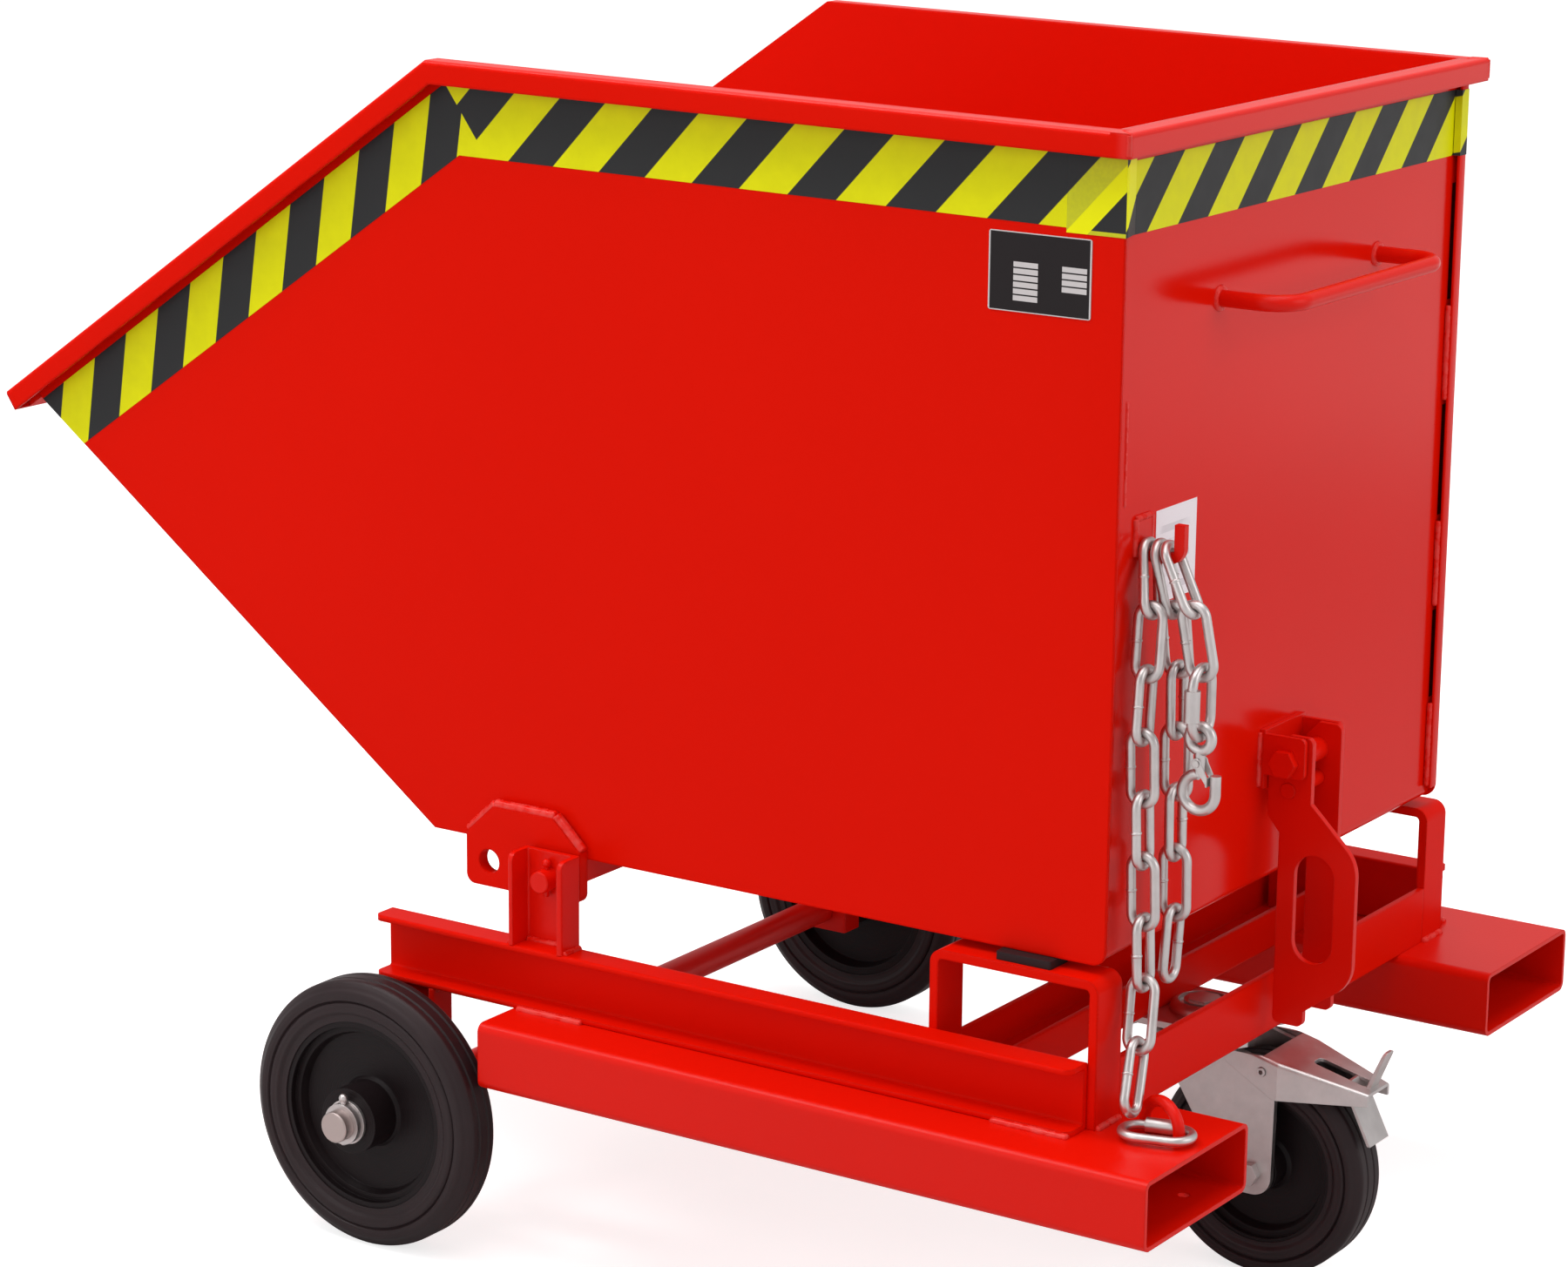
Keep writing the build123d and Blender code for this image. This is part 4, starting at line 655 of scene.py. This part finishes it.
# %% Frame seams
POCKET_TOP = 0.2275
POCKET_BEAD = 0.0040
RAIL_EDGE = 0.3525
RAIL_WEB = 0.3300
RAIL_TOP = 0.2855
RAIL_STITCHES = ((0.030, -0.040), (-0.455, -0.528))
WEB_BEAD = 0.0030
SUPPORT_REAR = -0.5373
SUPPORT_SPAN = (0.322, 0.285)
SUPPORT_BEAD = 0.0038
FOOT_SPAN = (0.326, 0.349)
POST_FRONT = 0.0408
POST_REAR = -0.0182
POST_INSET = 0.006
POST_BEAD = 0.0034
BRACKET_EDGES = (0.1238, 0.1828)
BRACKET_TOP = 0.2265
BRACKET_BEAD = 0.0030


def cross_seam(x, span, side, z, radius):
    """A seam across the trolley on one side of it."""
    return ((x, side * span[0], z), (x, side * span[1], z), radius)


def frame_seams(side):
    edge = side * RAIL_EDGE
    web = side * RAIL_WEB
    seams = [((x0, edge, POCKET_TOP), (x1, edge, POCKET_TOP), POCKET_BEAD) for x0, x1 in RAIL_STITCHES]
    seams.append(cross_seam(SUPPORT_REAR, SUPPORT_SPAN, side, POCKET_TOP, SUPPORT_BEAD))
    web_rear = (POST_REAR + POST_INSET, web, RAIL_TOP)
    web_front = (POST_FRONT - POST_INSET, web, RAIL_TOP)
    seams.append((web_rear, web_front, WEB_BEAD))
    for x in (POST_FRONT, POST_REAR):
        seams.append(cross_seam(x, FOOT_SPAN, side, RAIL_TOP, POST_BEAD))
    for x in BRACKET_EDGES:
        seams.append(cross_seam(x, FOOT_SPAN, side, BRACKET_TOP, BRACKET_BEAD))
    return seams


weld_group("frame_welds_left", "frame", frame_seams(1))
weld_group("frame_welds_right", "frame", frame_seams(-1))

# %% [markdown]
# On the skip, a heavy bead runs over the top of each hinge lug, and the rim's rear corners are mitred and
# welded.

# %% Lug and rim seams
LUG_SEAM_Y = 0.3135
LUG_CORNERS = ((-0.0135, 0.3700), (0.0155, 0.3970), (0.0810, 0.3970), (0.1100, 0.3700))
LUG_BEAD = 0.0052
RIM_CORNER = (-0.5430, 0.3237)
RIM_INNER = (-0.5290, 0.3085)
RIM_LOW = 1.0240
RIM_HIGH = 1.0404
RIM_BEAD = 0.0022


def lug_seams(side):
    y = side * LUG_SEAM_Y
    pairs = zip(LUG_CORNERS, LUG_CORNERS[1:])
    return [((x0, y, z0), (x1, y, z1), LUG_BEAD) for (x0, z0), (x1, z1) in pairs]


def mitre_seams(side):
    """The mitre of the rim at a rear corner: up its outer edge and over its top."""
    (x0, y0), (x1, y1) = RIM_CORNER, RIM_INNER
    foot = (x0, side * y0, RIM_LOW)
    head = (x0, side * y0, RIM_HIGH)
    return [(foot, head, RIM_BEAD), (head, (x1, side * y1, RIM_HIGH), RIM_BEAD)]


weld_group("lug_weld_left", "skip", lug_seams(1))
weld_group("lug_weld_right", "skip", lug_seams(-1))
weld_group("rim_weld_left", "skip", mitre_seams(1))
weld_group("rim_weld_right", "skip", mitre_seams(-1))

# %% [markdown]
# The rear wall has short upright beads: at the lock bracket, round three sides of the hook's pad, and as
# stitches along both side sheets.

# %% Rear wall seams
WALL_X = -0.5272
LOCK_Y = 0.0385
LOCK_SPAN = (0.451, 0.499)
LOCK_BEAD = 0.0026
PAD_Y = (0.2425, 0.2675)
PAD_Z = (0.6955, 0.7260)
PAD_BEAD = 0.0030
LEFT_STITCH_X = WALL_X + 0.0007
LEFT_STITCH_Y = 0.286
LEFT_STITCH_SPAN = (0.739, 0.824)
LEFT_STITCH_BEAD = 0.0016
FLANGE_SEAM_X = -0.5292
FLANGE_EDGE_Y = -0.2946
FLANGE_STITCHES = ((0.545, 0.624), (0.374, 0.453), (0.736, 0.822))
FLANGE_BEAD = 0.0027


def upright(x, y, span, radius):
    """An upright seam."""
    return ((x, y, span[0]), (x, y, span[1]), radius)


lock_seams = [upright(WALL_X, side * LOCK_Y, LOCK_SPAN, LOCK_BEAD) for side in (-1, 1)]
weld_group("bracket_welds", "skip", lock_seams)

pad_top = ((WALL_X, PAD_Y[0], PAD_Z[1]), (WALL_X, PAD_Y[1], PAD_Z[1]), PAD_BEAD)
pad_sides = [upright(WALL_X, y, PAD_Z, PAD_BEAD) for y in PAD_Y]
weld_group("hook_pad_weld", "skip", [pad_top] + pad_sides)

left_stitch = upright(LEFT_STITCH_X, LEFT_STITCH_Y, LEFT_STITCH_SPAN, LEFT_STITCH_BEAD)
right_stitches = [upright(FLANGE_SEAM_X, FLANGE_EDGE_Y, span, FLANGE_BEAD) for span in FLANGE_STITCHES]
weld_group("rear_wall_welds", "skip", [left_stitch] + right_stitches)

pick(bead_master)
bpy.ops.object.delete()

# %% [markdown]
# The handle's round bar meets the wall in two ring welds. A ring is a torus, roughened with a seed so
# that it looks laid by hand, and its second copy has another seed.

# %% Handle rings
HANDLE_FEET = (0.136, -0.150)
HANDLE_FOOT_X = WALL_X + 0.0005
HANDLE_FOOT_Z = 0.887
HANDLE_RING = {"major_segments": 28, "minor_segments": 8, "major_radius": 0.0082, "minor_radius": 0.0030}
HANDLE_ROUGH = 0.0003


def rough_ring(place, turned, sizes, rough, seed):
    """A roughened torus."""
    bpy.ops.object.select_all(action="DESELECT")
    bpy.ops.mesh.primitive_torus_add(location=place, rotation=turned, **sizes)
    bpy.ops.object.transform_apply(location=True, rotation=True, scale=True)
    roughen(rough, seed)
    bpy.ops.object.shade_smooth()
    return bpy.context.object


for index, y in enumerate(HANDLE_FEET):
    foot = (HANDLE_FOOT_X, y, HANDLE_FOOT_Z)
    ring = rough_ring(foot, (0, math.pi / 2, 0), HANDLE_RING, HANDLE_ROUGH, index)
    hand_over(ring, f"handle_weld_{index + 1}", weld_paint, "skip")

# %% [markdown]
# ## Link welds
# A chain link is a bent wire that is butt welded in the middle of one long side, and the weld leaves a
# small swelling round the wire. The links could be counted and placed by hand, but the CAD strand knows
# where they are: a copy of it is taken apart into its links, and the spread of a link's points gives its
# long axis and its cross axis.

# %% Link welds
LINK_SIDE = 0.011
LINK_RING = {"major_segments": 14, "minor_segments": 6, "major_radius": 0.0029, "minor_radius": 0.0019}
LINK_ROUGH = 0.0002


def links_of(strand):
    """The middle, the long axis and the cross axis of each link of a strand."""
    pick(nodes[strand])
    bpy.ops.object.duplicate()
    bpy.ops.object.mode_set(mode="EDIT")
    bpy.ops.mesh.select_all(action="SELECT")
    bpy.ops.mesh.remove_doubles(threshold=0.000001)
    bpy.ops.mesh.separate(type="LOOSE")
    bpy.ops.object.mode_set(mode="OBJECT")
    links = list(bpy.context.selected_objects)
    places = []
    for link in links:
        points = np.array([vertex.co for vertex in link.data.vertices])
        middle = (points.min(axis=0) + points.max(axis=0)) / 2
        directions = np.linalg.eigh(np.cov((points - middle).T))[1]
        cross = Vector(directions[:, 1])
        if cross.x < 0:
            cross.negate()
        places.append((Vector(middle), Vector(directions[:, 2]), cross))
    pick(*links)
    bpy.ops.object.delete()
    return places


def link_weld(middle, along, cross, seed):
    """The swelling in the middle of one long side of a link."""
    turned = along.to_track_quat("Z", "Y").to_euler()
    return rough_ring(middle + LINK_SIDE * cross, turned, LINK_RING, LINK_ROUGH, seed)


for strand in ("chain_tail", "chain_loop", "chain_end"):
    rings = [link_weld(*place, seed) for seed, place in enumerate(links_of(strand))]
    hand_over(join(rings), strand + "_welds", zinc, "skip")

# %% [markdown]
# ## Tape corner
# The strip on the rear wall is folded round the left rear corner, and its end lies over the side strip
# and hangs three millimetres lower. Where film lies on film the yellow is either fresh or duller, so this
# short piece has a finish of its own.

# %% Tape corner finish
SIDE_TAPE_LOW = 0.961
YELLOW_FRESH = (0.92, 0.90, 0.0, 1)
YELLOW_DULL = (0.58, 0.58, 0.02, 1)
FRESH_SHARE = 0.21
FOLD_Y = 0.3077


def make_corner_film():
    finish, shader, place = new_finish("tape_corner_film")
    x, y, z = axes(place)
    phase = straight_phase(x, z)
    part = phase.math("FRACT", phase)
    speckle = noise(place, scale=260.0, detail=4.0)
    on_side = soft_step(y, FOLD_Y, 0.0001)
    dull = soft_step(part, FRESH_SHARE, STRIPE_SOFT) * (0.7 + 0.5 * speckle)
    black_side = dark_stripe(phase) * soft_step(z, SIDE_TAPE_LOW, 0.0003)
    black = on_side * black_side + (1 - on_side) * rear_stripes(place)
    feed(shader, "Base Color", mix(black, mix(dull * on_side, YELLOW_FRESH, YELLOW_DULL), BLACK))
    feed(shader, "Roughness", 0.36 + 0.14 * speckle)
    feed(shader, "Normal", bump(speckle, 0.00003, rounded(place, 0.0003)))
    shader.inputs["Specular IOR Level"].default_value = 0.15
    return finish


corner_film = make_corner_film()
print("finish:", corner_film.name)

# %% [markdown]
# The film is a flat sheet. One edge of it is extruded round the edge of the side wall and back to the
# rear wall, and then the sheet is given the thickness of the film.

# %% Tape corner
FILM = 0.0002
CORNER_X = (-0.5332, -0.4800)
CORNER_Y = 0.30785
CORNER_Z = (0.9577, 1.0192)
CORNER_FOLDS = ((0.0, -0.0036, 0.0), (0.0058, -0.0213, 0.0))


def fold_film(middle, width, height, turned, on_edge, folds):
    """A flat sheet, with the edge that on_edge picks extruded along the folds, as thick as film."""
    bpy.ops.object.select_all(action="DESELECT")
    bpy.ops.mesh.primitive_plane_add(size=1, location=middle, rotation=turned)
    sheet = bpy.context.object
    sheet.scale = (width, height, 1)
    bpy.ops.object.transform_apply(location=True, rotation=True, scale=True)
    bpy.ops.object.mode_set(mode="EDIT")
    bpy.ops.mesh.select_mode(type="VERT")
    bpy.ops.mesh.select_all(action="DESELECT")
    bpy.ops.object.mode_set(mode="OBJECT")
    for vertex in sheet.data.vertices:
        vertex.select = on_edge(vertex.co)
    bpy.ops.object.mode_set(mode="EDIT")
    for fold in folds:
        bpy.ops.mesh.extrude_region_move(TRANSFORM_OT_translate={"value": fold})
    bpy.ops.mesh.select_all(action="SELECT")
    bpy.ops.mesh.normals_make_consistent(inside=False)
    bpy.ops.object.mode_set(mode="OBJECT")
    film = sheet.modifiers.new("film", "SOLIDIFY")
    film.thickness = FILM
    film.offset = 0
    bpy.ops.object.modifier_apply(modifier="film")
    return sheet


corner_middle = Vector((sum(CORNER_X) / 2, CORNER_Y, sum(CORNER_Z) / 2))
tape_corner = fold_film(
    corner_middle,
    CORNER_X[1] - CORNER_X[0],
    CORNER_Z[1] - CORNER_Z[0],
    (-math.pi / 2, 0, 0),
    lambda point: point.x < corner_middle.x,
    CORNER_FOLDS,
)
hand_over(tape_corner, "tape_corner", corner_film, "skip")

# %% [markdown]
# ## Flange of the right side sheet
# The bend that carries the side sheet over the rear wall is a narrow plate along the corner. A strip of
# sheet metal has slightly rounded edges where it was cut, so a thin box gets a small bevel.

# %% Flange
FLANGE_X = (-0.5334, -0.5306)
FLANGE_Y = (-0.3076, -0.2950)
FLANGE_Z = (0.372, 1.020)
FLANGE_ROUND = 0.0009


def model_flange():
    spans = (FLANGE_X, FLANGE_Y, FLANGE_Z)
    bpy.ops.object.select_all(action="DESELECT")
    bpy.ops.mesh.primitive_cube_add(
        size=1,
        location=[(low + high) / 2 for low, high in spans],
        scale=[high - low for low, high in spans],
    )
    plate = bpy.context.object
    bpy.ops.object.transform_apply(location=True, rotation=True, scale=True)
    edge = plate.modifiers.new("edge", "BEVEL")
    edge.width = FLANGE_ROUND
    edge.segments = 3
    bpy.ops.object.modifier_apply(modifier="edge")
    bpy.ops.object.shade_smooth_by_angle(angle=math.radians(40))
    return plate


flange_paint = make_red_paint("red_paint_flange", shine=0.11, roughness=0.14, edge=0.0007)
hand_over(model_flange(), "wall_flange_right", flange_paint, "skip")

# %% [markdown]
# The end of the rear tape lies over the flange: a short sheet that drops from the flange to the wall,
# with the stripes running on.

# %% Tape end
END_X = -0.5336
END_Y = (-0.3076, -0.2944)
END_Z = (0.957, 1.0155)
END_FOLD = (0.0059, 0.0012, 0.0)

end_middle = Vector((END_X, sum(END_Y) / 2, sum(END_Z) / 2))
tape_end = fold_film(
    end_middle,
    END_Z[1] - END_Z[0],
    END_Y[1] - END_Y[0],
    (0, -math.pi / 2, 0),
    lambda point: point.y > end_middle.y,
    [END_FOLD],
)
hand_over(tape_end, "tape_end", make_tape("tape_end_film", rear_stripes), "skip")

# %% [markdown]
# ## Floor
# The photograph is a cut-out on white. A pale floor that is lit as the object is comes out slightly grey,
# so for the camera the floor gets a little light of its own, which keeps the soft shadow under the
# wheels. In reflections alone the floor also glows further off: a painted reflection that pales the
# rear wall towards its top.

# %% Floor
FLOOR_SIZE = 60
FLOOR_GREY = (0.64, 0.64, 0.64, 1)
FLOOR_AND_REFLECTION_GLOW = (0.74, 0.74, 0.74, 1)
NO_GLOW = (0, 0, 0, 1)
REFLECTED_GLOW_EDGE = 3.9
REFLECTED_GLOW_WIDTH = 1.6


def make_floor():
    bpy.ops.object.select_all(action="DESELECT")
    bpy.ops.mesh.primitive_plane_add(size=FLOOR_SIZE, location=(0, 0, 0))
    floor = bpy.context.object
    floor.name = "studio_floor"
    finish, shader, place = new_finish("studio_floor_white")
    feed(shader, "Roughness", 0.85 + 0.05 * noise(place, scale=3.0))
    shader.inputs["Base Color"].default_value = FLOOR_GREY
    shader.inputs["Specular IOR Level"].default_value = 0.0
    ray = place.node("ShaderNodeLightPath", {}, {})
    seen = ray.socket.node.outputs
    away = place.node("ShaderNodeVectorMath", {"operation": "LENGTH"}, {0: place}, "Value")
    direct = Shade(seen["Is Camera Ray"]) + Shade(seen["Is Transmission Ray"])
    # painted reflection: in reflections the far floor glows, which pales the upper rear wall
    camera_and_reflection_glow = direct + Shade(seen["Is Glossy Ray"]) * soft_step(away, REFLECTED_GLOW_EDGE, REFLECTED_GLOW_WIDTH)
    feed(shader, "Emission Color", mix(camera_and_reflection_glow.math("MINIMUM", camera_and_reflection_glow, 1.0), NO_GLOW, FLOOR_AND_REFLECTION_GLOW))
    shader.inputs["Emission Strength"].default_value = 1.0
    floor.data.materials.append(finish)
    return floor


print("floor:", make_floor().name)

# %% [markdown]
# ## Light
# One broad lamp overhead and two softboxes at the sides give the long soft highlights on the rim and the
# handle, and a narrow strip lamp in front draws a crisp line along the rounded edges. The sky is a soft
# grey light, but the camera sees it white, so that no horizon shows behind the floor.

# %% Lamps
def softbox(name, power, width, height, place, target):
    """A rectangular lamp that faces a point."""
    lamp = bpy.data.lights.new(name, "AREA")
    lamp.energy = power
    lamp.shape = "RECTANGLE"
    lamp.size = width
    lamp.size_y = height
    box = bpy.data.objects.new(name, lamp)
    box.location = place
    box.rotation_euler = (Vector(target) - Vector(place)).to_track_quat("-Z", "Y").to_euler()
    bpy.context.scene.collection.objects.link(box)
    return box


softbox("overhead", power=120, width=4.0, height=4.0, place=(0.0, 0.5, 4.2), target=(0, 0, 0.5))
softbox("left_box", power=34, width=3.0, height=3.0, place=(1.0, 4.5, 2.2), target=(0, 0, 0.6))
softbox("rear_box", power=38, width=2.5, height=2.5, place=(-4.5, -0.8, 2.4), target=(0, 0, 0.6))
softbox("edge_strip", power=28, width=1.9, height=0.35, place=(1.77, 1.2, 3.4), target=(1.77, 0, 0.5))
print("lamps:", len(bpy.data.lights))

# %% Sky
SKY_WHITE = (1, 1, 1, 1)
SKY_LIGHT = 0.55

world = bpy.data.worlds.new("studio_world")
world.use_nodes = True
bpy.context.scene.world = world
sky = world.node_tree.nodes["Background"]
sky.inputs["Color"].default_value = SKY_WHITE
sky.inputs["Strength"].default_value = SKY_LIGHT
light = Shade(sky.outputs["Background"])
to_camera = light.node("ShaderNodeLightPath", {}, {}, "Is Camera Ray")
white = light.node("ShaderNodeBackground", {}, {"Color": SKY_WHITE, "Strength": 1.0})
seen_sky = light.node("ShaderNodeMixShader", {}, {0: to_camera, 1: light, 2: white})
world.node_tree.links.new(seen_sky.socket, world.node_tree.nodes["World Output"].inputs["Surface"])
bpy.context.scene.view_settings.view_transform = "Standard"
print("sky:", world.name)

# %% [markdown]
# ## Finish
# Last, the view layer is updated.

# %% Update the scene
bpy.context.view_layer.update()
